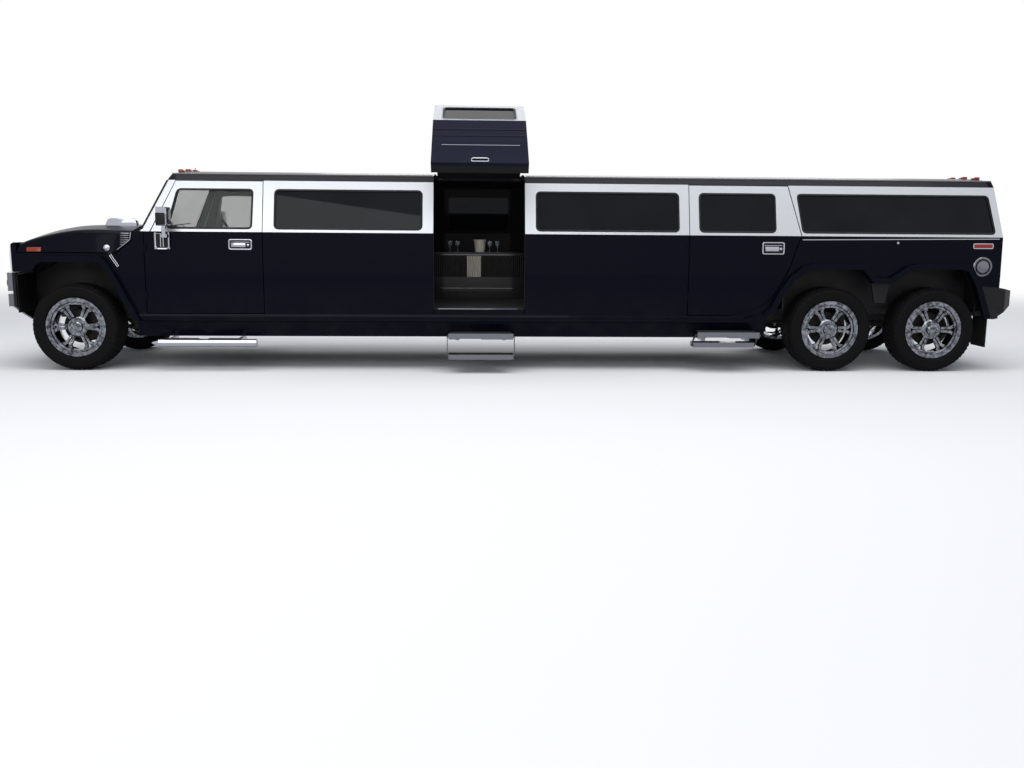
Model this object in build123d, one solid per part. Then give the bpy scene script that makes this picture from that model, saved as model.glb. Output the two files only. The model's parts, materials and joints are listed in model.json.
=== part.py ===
from build123d import *
import os
from math import cos, radians, sin

# Stretch limousine with tandem rear axles and a jet door in its left side.
# All sizes are in millimetres. While it is drawn, X runs rearwards from the front hubs,
# Y runs to the vehicle's right from its centre plane, and Z runs up from the ground.
# The last step moves everything so that the origin is under the middle of the whole.

# Wheels
TYRE_RADIUS = 438.0
TYRE_WIDTH = 315.0
RIM_SEAT_RADIUS = 279.4
RIM_LIP_HEIGHT = 17.6
RIM_WIDTH = 280.0
RIM_WALL = 12.0
RIM_FLANGE = 14.0
SPOKE_COUNT = 6
SPOKE_THICKNESS = 34.0
OUTER_RING_WIDTH = 42.0
HUB_RADIUS = 92.0
HUB_FACE = 45.0
CAP_RADIUS = 60.0
RUNNING_GAP = 0.3

# Stations along the length
NOSE_OVERHANG = 690.0
HOOD_FRONT_OVERHANG = 550.0
HOOD_REAR_X = 575.0
DOOR_FRONT_X = 700.0
FRONT_DOOR_LENGTH = 1186.0
FRONT_SALOON_LENGTH = 1713.0
JET_DOOR_LENGTH = 934.0
REAR_SALOON_LENGTH = 1685.0
REAR_DOOR_TO_AXLE = 1499.0
TANDEM_SPACING = 1100.0
REAR_OVERHANG = 688.0
BUMPER_REACH = 141.0
REAR_BUMPER_REACH = 154.0
TAIL_RAKE = 80.0

# Heights of the body
SILL_BOTTOM_Z = 346.0
LEDGE_BOTTOM_Z = 507.0
LEDGE_TOP_Z = 549.0
SILL_TOP_Z = 575.0
FLOOR_TOP_Z = 633.0
WAIST_Z = 1000.0
BELT_Z = 1400.0
WINDOW_SILL = 37.0
WINDOW_HEIGHT = 384.0
HEADER_HEIGHT = 92.0
ROOF_EDGE_RISE = 65.0
ROOF_BEND_RISE = 44.0
ROOF_CROWN_RISE = 12.0
WING_DROP = 220.0

# Half widths of the body, and how far its levels stand in from the widest one
BODY_HALF = 975.0
SILL_INSET = 45.0
LEDGE_REACH = 12.0
SILL_TOP_INSET = 6.0
BELT_INSET = 10.0
BAND_INSET = 145.0
ROOF_EDGE_INSET = 50.0
ROOF_BEND_INSET = 380.0
FLARE_REACH = 53.0
MIRROR_REACH = 195.0
FLARE_WIDTH = 60.0
TRACK_INSET = 105.0

# Walls, seams and glass
WALL = 60.0
ROOF_THICKNESS = 50.0
JET_WALL = 110.0
SEAM = 8.0
GLASS_THICKNESS = 6.0
GLASS_INSET = 10.0
GLASS_CLEARANCE = 0.3
WINDOW_CORNER = 38.0
PLATE_THICKNESS = 50.0

# Windscreen and front pillars
SCREEN_BASE_X = 684.0
SCREEN_BASE_RISE = 22.0
SCREEN_SLOPE = 0.494
PILLAR_BASE_X = 766.0
PILLAR_TOP_X = 1007.0

# Window margins within their panels, front and rear
FRONT_WINDOW_MARGINS = (238.0, 108.0)
SALOON_MARGIN = 119.0
JET_WINDOW_MARGIN = 109.0
REAR_DOOR_WINDOW = (114.0, 895.0)

# Jet door, hinged along the roof, with the angle at which it stands open
JET_HINGE_Y = 100.0
JET_OPEN_ANGLE = 53.0
HINGE_BARREL_RADIUS = 8.0
HINGE_BARREL_COUNT = 9
HINGE_LEAF = 40.0

# Swings of what opens and steers, in degrees
STEER_ANGLE = 28.0
DOOR_SWING = 65.0
HOOD_SWING = 60.0
TAILGATE_SWING = 85.0

# Chassis
RAIL_Y = 395.0
RAIL_WIDTH = 80.0
RAIL_BOTTOM_Z = 495.0
CROSS_MEMBER_WIDTH = 100.0
OUTRIGGER_WIDTH = 80.0
AXLE_TUBE_RADIUS = 50.0
AXLE_FLANGE_RADIUS = 85.0
DIFFERENTIAL_RADIUS = 130.0
SNOUT_RADIUS = 62.0
SNOUT_LENGTH = 260.0
REAR_SNOUT_LENGTH = 170.0
SHAFT_RADIUS = 38.0
SHAFT_Z = 450.0
GEARBOX_REAR_X = 640.0
KINGPIN_INSET = 125.0
KNUCKLE_HALF_HEIGHT = 130.0
ARM_THICKNESS = 30.0
HITCH_BORE = 51.0
HITCH_WALL = 14.5
HITCH_PIN_RADIUS = 8.0
HITCH_PIN_SETBACK = 80.0

# Nose, tailgate and lamps
NOSE_BOTTOM_Z = 990.0
NOSE_TOP_Z = 1281.0
GRILLE_SLOTS = 8
GRILLE_PITCH = 104.0
GRILLE_SLOT_WIDTH = 66.0
HEADLAMP_Y = 640.0
HEADLAMP_RADIUS = 85.0
HEADLAMP_Z = 1122.0
TAILGATE_INSET = 195.0
TAILGATE_TOP_INSET = 303.0
TAILGATE_BOTTOM_Z = 905.0
BUMPER_BOTTOM_Z = 640.0
TAIL_SKIRT_Z = 640.0
BUMPER_WRAP = 247.0
BUMPER_PROUD = 14.0
MARKER_YS = (-520.0, -260.0, 0.0, 260.0, 520.0)
MARKER_HEIGHT = 22.0

# Front wheel liners
LINER_WALL = 12.0
LINER_INNER_Y = 490.0

# Folding steps: a fixed upper tread, and a lower tread on cranks at its ends
TREAD_TOP_Z = 402.0
TREAD_HEIGHT = 60.0
LOWER_TREAD_HEIGHT = 50.0
TREAD_DEPTH = 190.0
TREAD_REACH = 235.0
CRANK_LENGTH = 205.0
CRANK_WIDTH = 26.0
CRANK_BOW = 20.0
CRANK_THICKNESS = 8.0
CRANK_PIN_RADIUS = 10.0
DEPLOYED_ANGLE = 15.0
STOWED_ANGLE = -56.0
# Tube steps below the front doors
STEP_TUBE_RADIUS = 41.0
STEP_TUBE_REACH = 120.0
STEP_TUBE_Z = 288.0
STEP_TUBE_POINT = 70.0

# Seats, sofa and bar, measured from the floor
SEAT_LIFT = 327.0
SEAT_HALF = 250.0
SEAT_Y = 420.0
BACK_LIFT = 927.0
REST_LIFT = 1157.0
SOFA_LIFT = 427.0
SOFA_BACK_LIFT = 767.0
SOFA_FRONT_Y = 480.0
BAR_FRONT_Y = 560.0
BAR_LIFT = 547.0

EMPTY_MASS_KG = 5200.0

NOSE_X = -NOSE_OVERHANG
HOOD_FRONT_X = -HOOD_FRONT_OVERHANG
NOSE_REAR_X = HOOD_FRONT_X - SEAM
FRONT_DOOR_REAR_X = DOOR_FRONT_X + FRONT_DOOR_LENGTH
JET_FRONT_X = FRONT_DOOR_REAR_X + FRONT_SALOON_LENGTH
JET_REAR_X = JET_FRONT_X + JET_DOOR_LENGTH
REAR_DOOR_FRONT_X = JET_REAR_X + REAR_SALOON_LENGTH
MID_AXLE_X = REAR_DOOR_FRONT_X + REAR_DOOR_TO_AXLE
REAR_AXLE_X = MID_AXLE_X + TANDEM_SPACING
TAIL_X = REAR_AXLE_X + REAR_OVERHANG
BUMPER_TIP_X = NOSE_X - BUMPER_REACH
BUMPER_REAR_X = NOSE_X + 90
REAR_BUMPER_TIP_X = TAIL_X + REAR_BUMPER_REACH
FRAME_END_X = TAIL_X - 60

WINDOW_BOTTOM_Z = BELT_Z + WINDOW_SILL
WINDOW_TOP_Z = WINDOW_BOTTOM_Z + WINDOW_HEIGHT
BAND_TOP_Z = WINDOW_TOP_Z + HEADER_HEIGHT
ROOF_EDGE_Z = BAND_TOP_Z + ROOF_EDGE_RISE
ROOF_BEND_Z = ROOF_EDGE_Z + ROOF_BEND_RISE
ROOF_TOP_Z = ROOF_BEND_Z + ROOF_CROWN_RISE
SCREEN_BASE_Z = BELT_Z + SCREEN_BASE_RISE
WING_TOP_Z = BELT_Z - WING_DROP
HOOD_SKIRT_Z = WING_TOP_Z + SEAM
DOOR_BOTTOM_Z = SILL_TOP_Z + SEAM
DOOR_TOP_Z = BAND_TOP_Z - SEAM
TAILGATE_TOP_Z = WINDOW_TOP_Z + 29
HUB_Z = TYRE_RADIUS

SILL_HALF = BODY_HALF - SILL_INSET
BELT_HALF = BODY_HALF - BELT_INSET
BAND_HALF = BODY_HALF - BAND_INSET
ROOF_EDGE_HALF = BAND_HALF - ROOF_EDGE_INSET
ROOF_BEND_HALF = ROOF_EDGE_HALF - ROOF_BEND_INSET
FLARE_HALF = BODY_HALF + FLARE_REACH
MIRROR_HALF = BODY_HALF + MIRROR_REACH
HOOD_HALF = BODY_HALF - SEAM
TAILGATE_HALF = BODY_HALF - TAILGATE_INSET
TAILGATE_TOP_HALF = BODY_HALF - TAILGATE_TOP_INSET
WHEEL_Y = BODY_HALF - TRACK_INSET
HUB_INNER_Y = WHEEL_Y - HUB_FACE - RUNNING_GAP
WHEEL_ROOM_Y = WHEEL_Y - TYRE_WIDTH / 2 - 22.5
KINGPIN_Y = WHEEL_Y - KINGPIN_INSET
RAIL_OUTER_Y = RAIL_Y + RAIL_WIDTH
TREAD_OUTER_Y = -SILL_HALF - TREAD_REACH

RIM_LIP_RADIUS = RIM_SEAT_RADIUS + RIM_LIP_HEIGHT
PIN_RADIUS = SEAM / 2 - RUNNING_GAP
JET_HINGE_Z = ROOF_TOP_Z + HINGE_BARREL_RADIUS
HOOD_HINGE_X = HOOD_FRONT_X - SEAM / 2
HOOD_HINGE_Z = NOSE_TOP_Z + 12
HITCH_Z = SILL_TOP_Z - 50
HITCH_HALF = HITCH_BORE / 2 + HITCH_WALL
HITCH_PIN_X = REAR_BUMPER_TIP_X - HITCH_PIN_SETBACK
STEP_SWING = DEPLOYED_ANGLE - STOWED_ANGLE
CRANK_PIN_Y = TREAD_OUTER_Y + 25
CRANK_PIN_Z = TREAD_TOP_Z - 35

AXLES = {"front": 0.0, "mid": MID_AXLE_X, "rear": REAR_AXLE_X}
SIDES = {"left": -1, "right": 1}
OUTSIDE = BODY_HALF + FLARE_REACH + 200
DOOR_HINGE_ZS = (FLOOR_TOP_Z + 130, BELT_Z - 160)

# Side of the body, as half width and height from the sill up to the roof
SECTION = [
    (SILL_HALF, SILL_BOTTOM_Z),
    (BODY_HALF - SILL_TOP_INSET, SILL_TOP_Z),
    (BODY_HALF, WAIST_Z),
    (BELT_HALF, BELT_Z),
    (BAND_HALF, BAND_TOP_Z),
]
# Roof, as half width and height from the side's top to the crown
ROOF_SECTION = [
    (BAND_HALF, BAND_TOP_Z),
    (ROOF_EDGE_HALF, ROOF_EDGE_Z),
    (ROOF_BEND_HALF, ROOF_BEND_Z),
    (0.0, ROOF_TOP_Z),
]
# Front wheel arch, as X and Z of each corner
FRONT_ARCH = [
    (-420, 200), (-420, 960), (-345, 1062), (-300, 1090), (262, 1090), (300, 1050), (346, 970),
    (594, 480), (594, 200),
]
# Front wheel liner's inside, from the bumper over the wheel to the floor
FRONT_LINER = [
    (BUMPER_REAR_X + LINER_WALL, SILL_TOP_Z), (BUMPER_REAR_X + LINER_WALL, NOSE_BOTTOM_Z - 32),
    (NOSE_REAR_X + 14, NOSE_BOTTOM_Z - 28), (-345, 1075), (-300, 1090), (262, 1090), (300, 1050),
    (346, 970), (546, SILL_TOP_Z),
]
# Rear wheel arches, as X from the middle or the rear axle, and Z
MID_ARCH = [
    (-687, 200), (-657, 560), (-580, 640), (-504, 801), (-397, 946), (-287, 1035), (-195, 1060),
    (313, 1060), (433, 921),
]
LAST_ARCH = [
    (-477, 917), (-297, 1042), (-208, 1068), (253, 1068), (327, 1045), (408, 905), (533, 560),
    (533, 200),
]
REAR_ARCH = [(MID_AXLE_X + x, z) for x, z in MID_ARCH] + [(REAR_AXLE_X + x, z) for x, z in LAST_ARCH]
# Rear edge of the rear door, as X from the middle axle, and Z from the sill to the belt
REAR_DOOR_CURVE = [
    (-1060, SILL_TOP_Z), (-970, 597), (-739, 667), (-640, 735), (-552, 850), (-492, 960),
    (-430, 1094), (-359, 1320), (-326, BELT_Z), (-457, BAND_TOP_Z),
]
REAR_DOOR_EDGE = [(MID_AXLE_X + x, z) for x, z in REAR_DOOR_CURVE]
# Hood, as X, then the heights over the wings of its crown, shoulder and edge
HOOD_SECTIONS = [
    (HOOD_FRONT_X, 118, 110, 84),
    (-400, 200, 190, 136),
    (-100, 270, 262, 203),
    (150, 288, 280, 228),
    (HOOD_REAR_X, 290, 282, 216),
]
HOOD_SHOULDER_HALF = 595.0
HOOD_EDGE_HALF = HOOD_HALF - 35

FRONT_WINDOW = [
    (DOOR_FRONT_X + FRONT_WINDOW_MARGINS[0], WINDOW_BOTTOM_Z),
    (DOOR_FRONT_X + FRONT_WINDOW_MARGINS[0] + 94, WINDOW_TOP_Z),
    (FRONT_DOOR_REAR_X - FRONT_WINDOW_MARGINS[1], WINDOW_TOP_Z),
    (FRONT_DOOR_REAR_X - FRONT_WINDOW_MARGINS[1] - 6, WINDOW_BOTTOM_Z),
]
SALOON_WINDOWS = [
    (FRONT_DOOR_REAR_X + SALOON_MARGIN, JET_FRONT_X - SALOON_MARGIN),
    (JET_REAR_X + SALOON_MARGIN, REAR_DOOR_FRONT_X - SALOON_MARGIN + 10),
]
JET_WINDOW = (JET_FRONT_X + JET_WINDOW_MARGIN, JET_REAR_X - JET_WINDOW_MARGIN)
REAR_WINDOW = tuple(REAR_DOOR_FRONT_X + x for x in REAR_DOOR_WINDOW)
QUARTER_WINDOW = [
    (MID_AXLE_X - 315, WINDOW_BOTTOM_Z), (MID_AXLE_X - 365, WINDOW_TOP_Z),
    (TAIL_X - 145, WINDOW_TOP_Z), (TAIL_X - 85, WINDOW_BOTTOM_Z),
]
TAIL_WINDOW = [
    (-TAILGATE_HALF + 220, WINDOW_BOTTOM_Z + 15), (-TAILGATE_TOP_HALF + 152, WINDOW_TOP_Z - 41),
    (TAILGATE_TOP_HALF - 152, WINDOW_TOP_Z - 41), (TAILGATE_HALF - 220, WINDOW_BOTTOM_Z + 15),
]
# Cross members, by station, and the outriggers that carry the sills
CROSS_MEMBERS = [
    BUMPER_REAR_X + 60, DOOR_FRONT_X, FRONT_DOOR_REAR_X, JET_FRONT_X - 300, JET_REAR_X + 270,
    REAR_DOOR_FRONT_X + 80, MID_AXLE_X - 467, (MID_AXLE_X + REAR_AXLE_X) / 2, FRAME_END_X - 50,
]
OUTRIGGERS = [
    DOOR_FRONT_X + 400, FRONT_DOOR_REAR_X + 800, JET_FRONT_X + 51, JET_REAR_X - 51,
    JET_REAR_X + 1067, REAR_DOOR_FRONT_X + 600,
]
# Folding steps, as name, front and rear end, rise over the entry step, and the cranks' angle
STEPS = [
    ("entry_step", JET_FRONT_X + 155, JET_REAR_X - 122, 0.0, DEPLOYED_ANGLE),
    ("rear_step", REAR_DOOR_FRONT_X + 76, REAR_DOOR_FRONT_X + 716, 20.0, STOWED_ANGLE),
]


# Plain solids

def prism_x(points, x_low, x_high):
    """Solid between two X stations from an outline of Y and Z."""
    face = make_face(Polyline([(x_low, y, z) for y, z in points], close=True))
    return extrude(face, x_high - x_low, dir=(1, 0, 0))


def prism_y(points, y_low, y_high):
    """Solid between two Y stations from an outline of X and Z."""
    face = make_face(Polyline([(x, y_low, z) for x, z in points], close=True))
    return extrude(face, y_high - y_low, dir=(0, 1, 0))


def prism_z(points, z_low, z_high):
    """Solid between two heights from an outline of X and Y."""
    face = make_face(Polyline([(x, y, z_low) for x, y in points], close=True))
    return extrude(face, z_high - z_low, dir=(0, 0, 1))


def block(x_low, x_high, y_low, y_high, z_low, z_high):
    """Rectangular solid between its limits."""
    middle = Pos((x_low + x_high) / 2, (y_low + y_high) / 2, (z_low + z_high) / 2)
    return middle * Box(x_high - x_low, y_high - y_low, z_high - z_low)


def rod_x(radius, x_low, x_high, y, z):
    """Round bar along X."""
    return Pos((x_low + x_high) / 2, y, z) * Rot(0, 90, 0) * Cylinder(radius, x_high - x_low)


def rod_y(radius, x, y_low, y_high, z):
    """Round bar along Y."""
    return Pos(x, (y_low + y_high) / 2, z) * Rot(90, 0, 0) * Cylinder(radius, y_high - y_low)


def rod_z(radius, x, y, z_low, z_high):
    """Upright round bar."""
    return Pos(x, y, (z_low + z_high) / 2) * Cylinder(radius, z_high - z_low)


def mirrored(shape):
    """The same shape on the other side of the centre plane."""
    return shape.mirror(Plane.XZ)


def sided(shape, side):
    """A shape drawn on the left, placed on the given side."""
    return shape if side < 0 else mirrored(shape)


def pair(shape):
    """A shape drawn on the left, with its twin on the right."""
    return [shape, mirrored(shape)]


# Lines of the body

def level_at(section, z):
    """Half width of a section, given as half widths and heights, at a height."""
    for (low_y, low_z), (high_y, high_z) in zip(section, section[1:]):
        if z <= high_z:
            return low_y + (high_y - low_y) * (z - low_z) / (high_z - low_z)
    return section[-1][0]


def half_width(z):
    """Half width of the body's side at a height."""
    return level_at(SECTION, z)


def heights(z_low, z_high):
    """Both limits, with the corners of the side between them."""
    return [z_low] + [z for _, z in SECTION if z_low < z < z_high] + [z_high]


def side_wall(x_low, x_high, z_low, z_high, wall=WALL):
    """Left side of the body between two stations and two heights."""
    levels = heights(z_low, z_high)
    outer = [(-half_width(z), z) for z in levels]
    inner = [(-half_width(z) + wall, z) for z in reversed(levels)]
    return prism_x(outer + inner, x_low, x_high)


def interior(z_low, z_high, x_low, x_high):
    """The space between the inner faces of both side walls."""
    levels = heights(z_low, z_high)
    left = [(-half_width(z) + WALL, z) for z in levels]
    right = [(half_width(z) - WALL, z) for z in reversed(levels)]
    return prism_x(left + right, x_low, x_high)


def body_mass():
    """Everything inside the outer skin, to trim what sits on it."""
    levels = heights(SILL_BOTTOM_Z, BAND_TOP_Z)
    outline = [(-half_width(z), z) for z in levels] + [(0, BAND_TOP_Z), (0, SILL_BOTTOM_Z)]
    return prism_x(outline, NOSE_X - 100, REAR_BUMPER_TIP_X)


def across(points, y_low=-OUTSIDE, y_high=0.0):
    """Cutter through the left side from an outline of X and Z."""
    return prism_y(points, y_low, y_high)


def rounded_window(x_low, x_high, margin=0.0):
    """Cutter for a window in the left side, with rounded corners."""
    width = x_high - x_low - 2 * margin
    height = WINDOW_HEIGHT - 2 * margin
    plane = Plane(
        origin=((x_low + x_high) / 2, -OUTSIDE, (WINDOW_BOTTOM_Z + WINDOW_TOP_Z) / 2),
        x_dir=(1, 0, 0),
        z_dir=(0, -1, 0),
    )
    face = plane * RectangleRounded(width, height, WINDOW_CORNER - margin)
    return extrude(face, OUTSIDE, dir=(0, 1, 0))


def cornered_window(outline, margin=0.0):
    """Cutter for a slanted window in the left side, given from its lower front corner."""
    shifts = ((2, 1), (2, -1), (-2, -1), (-2, 1))
    points = [(x + a * margin, 0, z + b * margin) for (x, z), (a, b) in zip(outline, shifts)]
    face = make_face(Polyline(points, close=True)).face()
    face = face.fillet_2d(WINDOW_CORNER - margin, face.vertices())
    return extrude(face, OUTSIDE, dir=(0, -1, 0))


def pane(cutter, x_low, x_high):
    """Sheet of side glass that fits a window cutter."""
    outer = [(-half_width(z) + GLASS_INSET, z) for z in (WINDOW_BOTTOM_Z, WINDOW_TOP_Z)]
    inner = [(y + GLASS_THICKNESS, z) for y, z in reversed(outer)]
    return prism_x(outer + inner, x_low, x_high) & cutter


def side_pane(x_low, x_high):
    """Glass of a window with rounded corners."""
    return pane(rounded_window(x_low, x_high, margin=GLASS_CLEARANCE), x_low, x_high)


def corner_pane(outline):
    """Glass of a slanted window."""
    stations = [x for x, _ in outline]
    return pane(cornered_window(outline, GLASS_CLEARANCE), min(stations), max(stations))


def screen_x(z):
    """Station of the windscreen's outer face at a height."""
    return SCREEN_BASE_X + SCREEN_SLOPE * (z - SCREEN_BASE_Z)


def pillar_x(z):
    """Station of the front door's slanted front edge at a height."""
    share = (z - BELT_Z) / (BAND_TOP_Z - BELT_Z)
    return PILLAR_BASE_X + share * (PILLAR_TOP_X - PILLAR_BASE_X)


def rear_x(z):
    """Station of the body's rear face at a height."""
    return TAIL_X - TAIL_RAKE * max(0, z - BELT_Z) / (ROOF_EDGE_Z - BELT_Z)


def roof_z(y):
    """Height of the roof skin at a distance from the centre plane."""
    for (low_y, low_z), (high_y, high_z) in zip(ROOF_SECTION, ROOF_SECTION[1:]):
        if abs(y) >= high_y:
            return low_z + (high_z - low_z) * (low_y - abs(y)) / (low_y - high_y)
    return ROOF_TOP_Z


def roof_line():
    """Outline of the roof skin from the left side to the right one."""
    left = [(-y, z) for y, z in ROOF_SECTION]
    return left + [(-y, z) for y, z in reversed(left[:-1])]


def roof_underside():
    """Outline of the headlining from the left side to the right one."""
    left = [(-BAND_HALF + WALL, BAND_TOP_Z)]
    left += [(-y + 6, z - ROOF_THICKNESS) for y, z in ROOF_SECTION[1:-1]]
    left += [(0, ROOF_TOP_Z - ROOF_THICKNESS)]
    return left + [(-y, z) for y, z in reversed(left[:-1])]


def roof_mass():
    """The space under the roof skin, above the sides."""
    return prism_x(roof_line(), 0, REAR_BUMPER_TIP_X)


def roof_cover(rear):
    """The roof as one mass from the windscreen's header to a station."""
    top = screen_x(BAND_TOP_Z)
    outline = [
        (top, BAND_TOP_Z), (top + 38, ROOF_EDGE_Z), (top + 65, ROOF_TOP_Z), (rear, ROOF_TOP_Z),
        (rear, BAND_TOP_Z),
    ]
    return prism_y(outline, -OUTSIDE, OUTSIDE) & roof_mass()


def rear_slab(z_low, z_high, depth=WALL):
    """Rear wall between two heights."""
    levels = [z_low] + ([BELT_Z] if z_low < BELT_Z < z_high else []) + [z_high]
    outline = [(rear_x(z), z) for z in levels]
    outline += [(rear_x(z) - depth, z) for z in reversed(levels)]
    return prism_y(outline, -OUTSIDE, OUTSIDE)


def rear_prism(outline):
    """Cutter through the rear wall from an outline of Y and Z."""
    return prism_x(outline, TAIL_X - 300, REAR_BUMPER_TIP_X)


def turn_about(shape, axis_y, axis_z, angle):
    """Shape turned about an axis that runs along X."""
    return Pos(0, axis_y, axis_z) * Rot(angle, 0, 0) * Pos(0, -axis_y, -axis_z) * shape


def door_hinge(x, z):
    """Lugs and pin of a door hinge in the seam behind a pillar, on the left side."""
    middle = x + SEAM / 2
    hinge = rod_z(PIN_RADIUS, middle, -BODY_HALF, z - 45, z + 45)
    for end in (-1, 1):
        low, high = sorted((z + end * 31, z + end * 45))
        hinge += block(x - 25, middle, -BODY_HALF - 3, -BODY_HALF + 14, low, high)
    return hinge


def door_knuckle(x, z):
    """The door's own part of that hinge, clear of its pin by a running gap."""
    middle = x + SEAM / 2
    leaf = block(middle, middle + 26, -BODY_HALF - 3, -BODY_HALF + 14, z - 30, z + 30)
    return leaf - rod_z(PIN_RADIUS + RUNNING_GAP, middle, -BODY_HALF, z - 31, z + 31)


# Wheels and running gear

def rim_barrel():
    """Barrel of the rim with its lips and drop centre, its axis along Z."""
    half = RIM_WIDTH / 2
    seat, lip, flange = RIM_SEAT_RADIUS, RIM_LIP_RADIUS, RIM_FLANGE
    well = RIM_SEAT_RADIUS - 30
    outline = [
        (seat - RIM_WALL, -half), (lip, -half), (lip, -half + flange), (seat, -half + flange),
        (well, -30), (well, 20), (seat, half - flange), (lip, half - flange), (lip, half),
        (seat - 22, half), (seat - 30, half - flange), (well - RIM_WALL, 20), (well - RIM_WALL, -30),
    ]
    profile = make_face(Polyline([(r, 0, z) for r, z in outline], close=True))
    return revolve(profile, Axis.Z, 360)


def wheel_face():
    """Dished face of the wheel with its flat outer ring, hub and cap."""
    top = RIM_WIDTH / 2 - RIM_FLANGE
    ring = RIM_SEAT_RADIUS - 20
    inner = ring - OUTER_RING_WIDTH + 12
    outline = [
        (0, -HUB_FACE), (HUB_RADIUS, -HUB_FACE), (HUB_RADIUS, top - 32 - SPOKE_THICKNESS),
        (inner, top - 10 - SPOKE_THICKNESS), (ring, top - SPOKE_THICKNESS), (ring, top),
        (inner, top), (inner - 6, top - 12), (HUB_RADIUS + 16, top - 32), (HUB_RADIUS, top - 18),
        (CAP_RADIUS, top - 18), (CAP_RADIUS - 4, top + 6), (CAP_RADIUS - 18, top + 12), (0, top + 12),
    ]
    profile = make_face(Polyline([(r, 0, z) for r, z in outline], close=True))
    return revolve(profile, Axis.Z, 360)


def rim(side):
    """Rim with six split spokes and the openings between them, its axis along Y."""
    top = RIM_WIDTH / 2
    low = HUB_RADIUS + 14
    high = RIM_SEAT_RADIUS - OUTER_RING_WIDTH - 4
    bend = high - 36
    opening = []
    for radius, spread in ((low, 15), (bend, 20), (high, 14), (high, -14), (bend, -20), (low, -15)):
        opening.append((radius * cos(radians(spread)), radius * sin(radians(spread))))
    hole = extrude(make_face(Polyline(opening, close=True)), 2 * top)
    split = [(low, -5), (bend, -6), (high, -24), (high, 24), (bend, 6), (low, 5)]
    groove = Pos(0, 0, top - RIM_FLANGE - 58) * extrude(make_face(Polyline(split, close=True)), 80)
    cuts = []
    for index in range(SPOKE_COUNT):
        turn = 360 / SPOKE_COUNT
        cuts.append(Rot(0, 0, 90 + index * turn) * hole)
        cuts.append(Rot(0, 0, 90 + (index + 0.5) * turn) * groove)
    return Rot(-90 * side, 0, 0) * (rim_barrel() + (wheel_face() - cuts))


def tyre(side):
    """Tyre with rounded shoulders, its axis along Y."""
    half = TYRE_WIDTH / 2
    inner = RIM_SEAT_RADIUS + RUNNING_GAP
    bead = RIM_WIDTH / 2 - RIM_FLANGE - RUNNING_GAP
    over_lip = RIM_LIP_RADIUS + 2
    shoulder, outer = TYRE_RADIUS - 33, TYRE_RADIUS
    right = [
        (inner, bead), (over_lip, bead), (over_lip + 56, half), (shoulder, half - 6),
        (outer, half - 45),
    ]
    outline = right + [(r, -z) for r, z in reversed(right)]
    profile = make_face(Polyline([(r, 0, z) for r, z in outline], close=True))
    return Rot(-90 * side, 0, 0) * revolve(profile, Axis.Z, 360)


def wheels(nodes):
    """Six rims and six tyres."""
    for axle, x in AXLES.items():
        for name, side in SIDES.items():
            place = Pos(x, side * WHEEL_Y, HUB_Z)
            nodes[f"rim_{axle}_{name}"] = place * rim(side)
            nodes[f"tyre_{axle}_{name}"] = place * tyre(side)


def knuckle():
    """Left steering knuckle with its hub carrier."""
    low, high = HUB_Z - KNUCKLE_HALF_HEIGHT, HUB_Z + KNUCKLE_HALF_HEIGHT
    upright = block(-45, 45, -KINGPIN_Y - 35, -KINGPIN_Y + 35, low, high)
    carrier = rod_y(78, 0, -HUB_INNER_Y, -KINGPIN_Y, HUB_Z)
    steering_arm = block(-200, 0, -KINGPIN_Y - 12, -KINGPIN_Y + 12, HUB_Z - 60, HUB_Z - 36)
    return upright + carrier + steering_arm


def front_suspension():
    """Upper and lower control arms, with the ball joints' seats."""
    parts = []
    for direction in (-1, 1):
        face = HUB_Z + direction * (KNUCKLE_HALF_HEIGHT + RUNNING_GAP)
        low, high = sorted((face, face + direction * ARM_THICKNESS))
        inner = RAIL_OUTER_Y if direction > 0 else RAIL_Y
        tip = KINGPIN_Y + 30
        outline = [
            (-180, -inner), (-60, -inner), (0, -KINGPIN_Y + 90), (60, -inner), (180, -inner),
            (45, -tip), (-45, -tip),
        ]
        arm = prism_z(outline, low, high)
        if direction < 0:
            for x in (-120, 120):
                arm += block(x - 30, x + 30, -inner - 50, -inner, low, RAIL_BOTTOM_Z)
        parts += pair(arm)
    return parts


def rear_axle(x):
    """Beam axle with its differential, flanges and saddles."""
    room = DIFFERENTIAL_RADIUS
    axle = rod_y(AXLE_TUBE_RADIUS, x, -HUB_INNER_Y, HUB_INNER_Y, HUB_Z)
    housing = Pos(x, 0, HUB_Z) * Sphere(room)
    axle += housing & block(x - room, x + room, -room + 20, room - 20, HUB_Z - room, HUB_Z + room)
    axle += rod_x(SNOUT_RADIUS, x - SNOUT_LENGTH, x, 0, HUB_Z)
    for side in (-1, 1):
        ends = sorted((side * HUB_INNER_Y, side * (HUB_INNER_Y - 35)))
        axle += rod_y(AXLE_FLANGE_RADIUS, x, *ends, HUB_Z)
        y = side * (RAIL_Y + RAIL_WIDTH / 2)
        saddle = RAIL_WIDTH / 2 - 2
        axle += block(x - 60, x + 60, y - saddle, y + saddle, HUB_Z, RAIL_BOTTOM_Z)
    return axle


def rear_axles():
    """Both driven beam axles, the middle one with a snout at its rear too."""
    middle = rear_axle(MID_AXLE_X)
    middle += rod_x(SNOUT_RADIUS, MID_AXLE_X, MID_AXLE_X + REAR_SNOUT_LENGTH, 0, HUB_Z)
    return [middle, rear_axle(REAR_AXLE_X)]


def driveline():
    """Propeller shafts from the gearbox to the middle axle, and on to the rear one."""
    spans = [
        (GEARBOX_REAR_X, MID_AXLE_X - SNOUT_LENGTH),
        (MID_AXLE_X + REAR_SNOUT_LENGTH, REAR_AXLE_X - SNOUT_LENGTH),
    ]
    return [rod_x(SHAFT_RADIUS, low, high, 0, SHAFT_Z) for low, high in spans]


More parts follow.
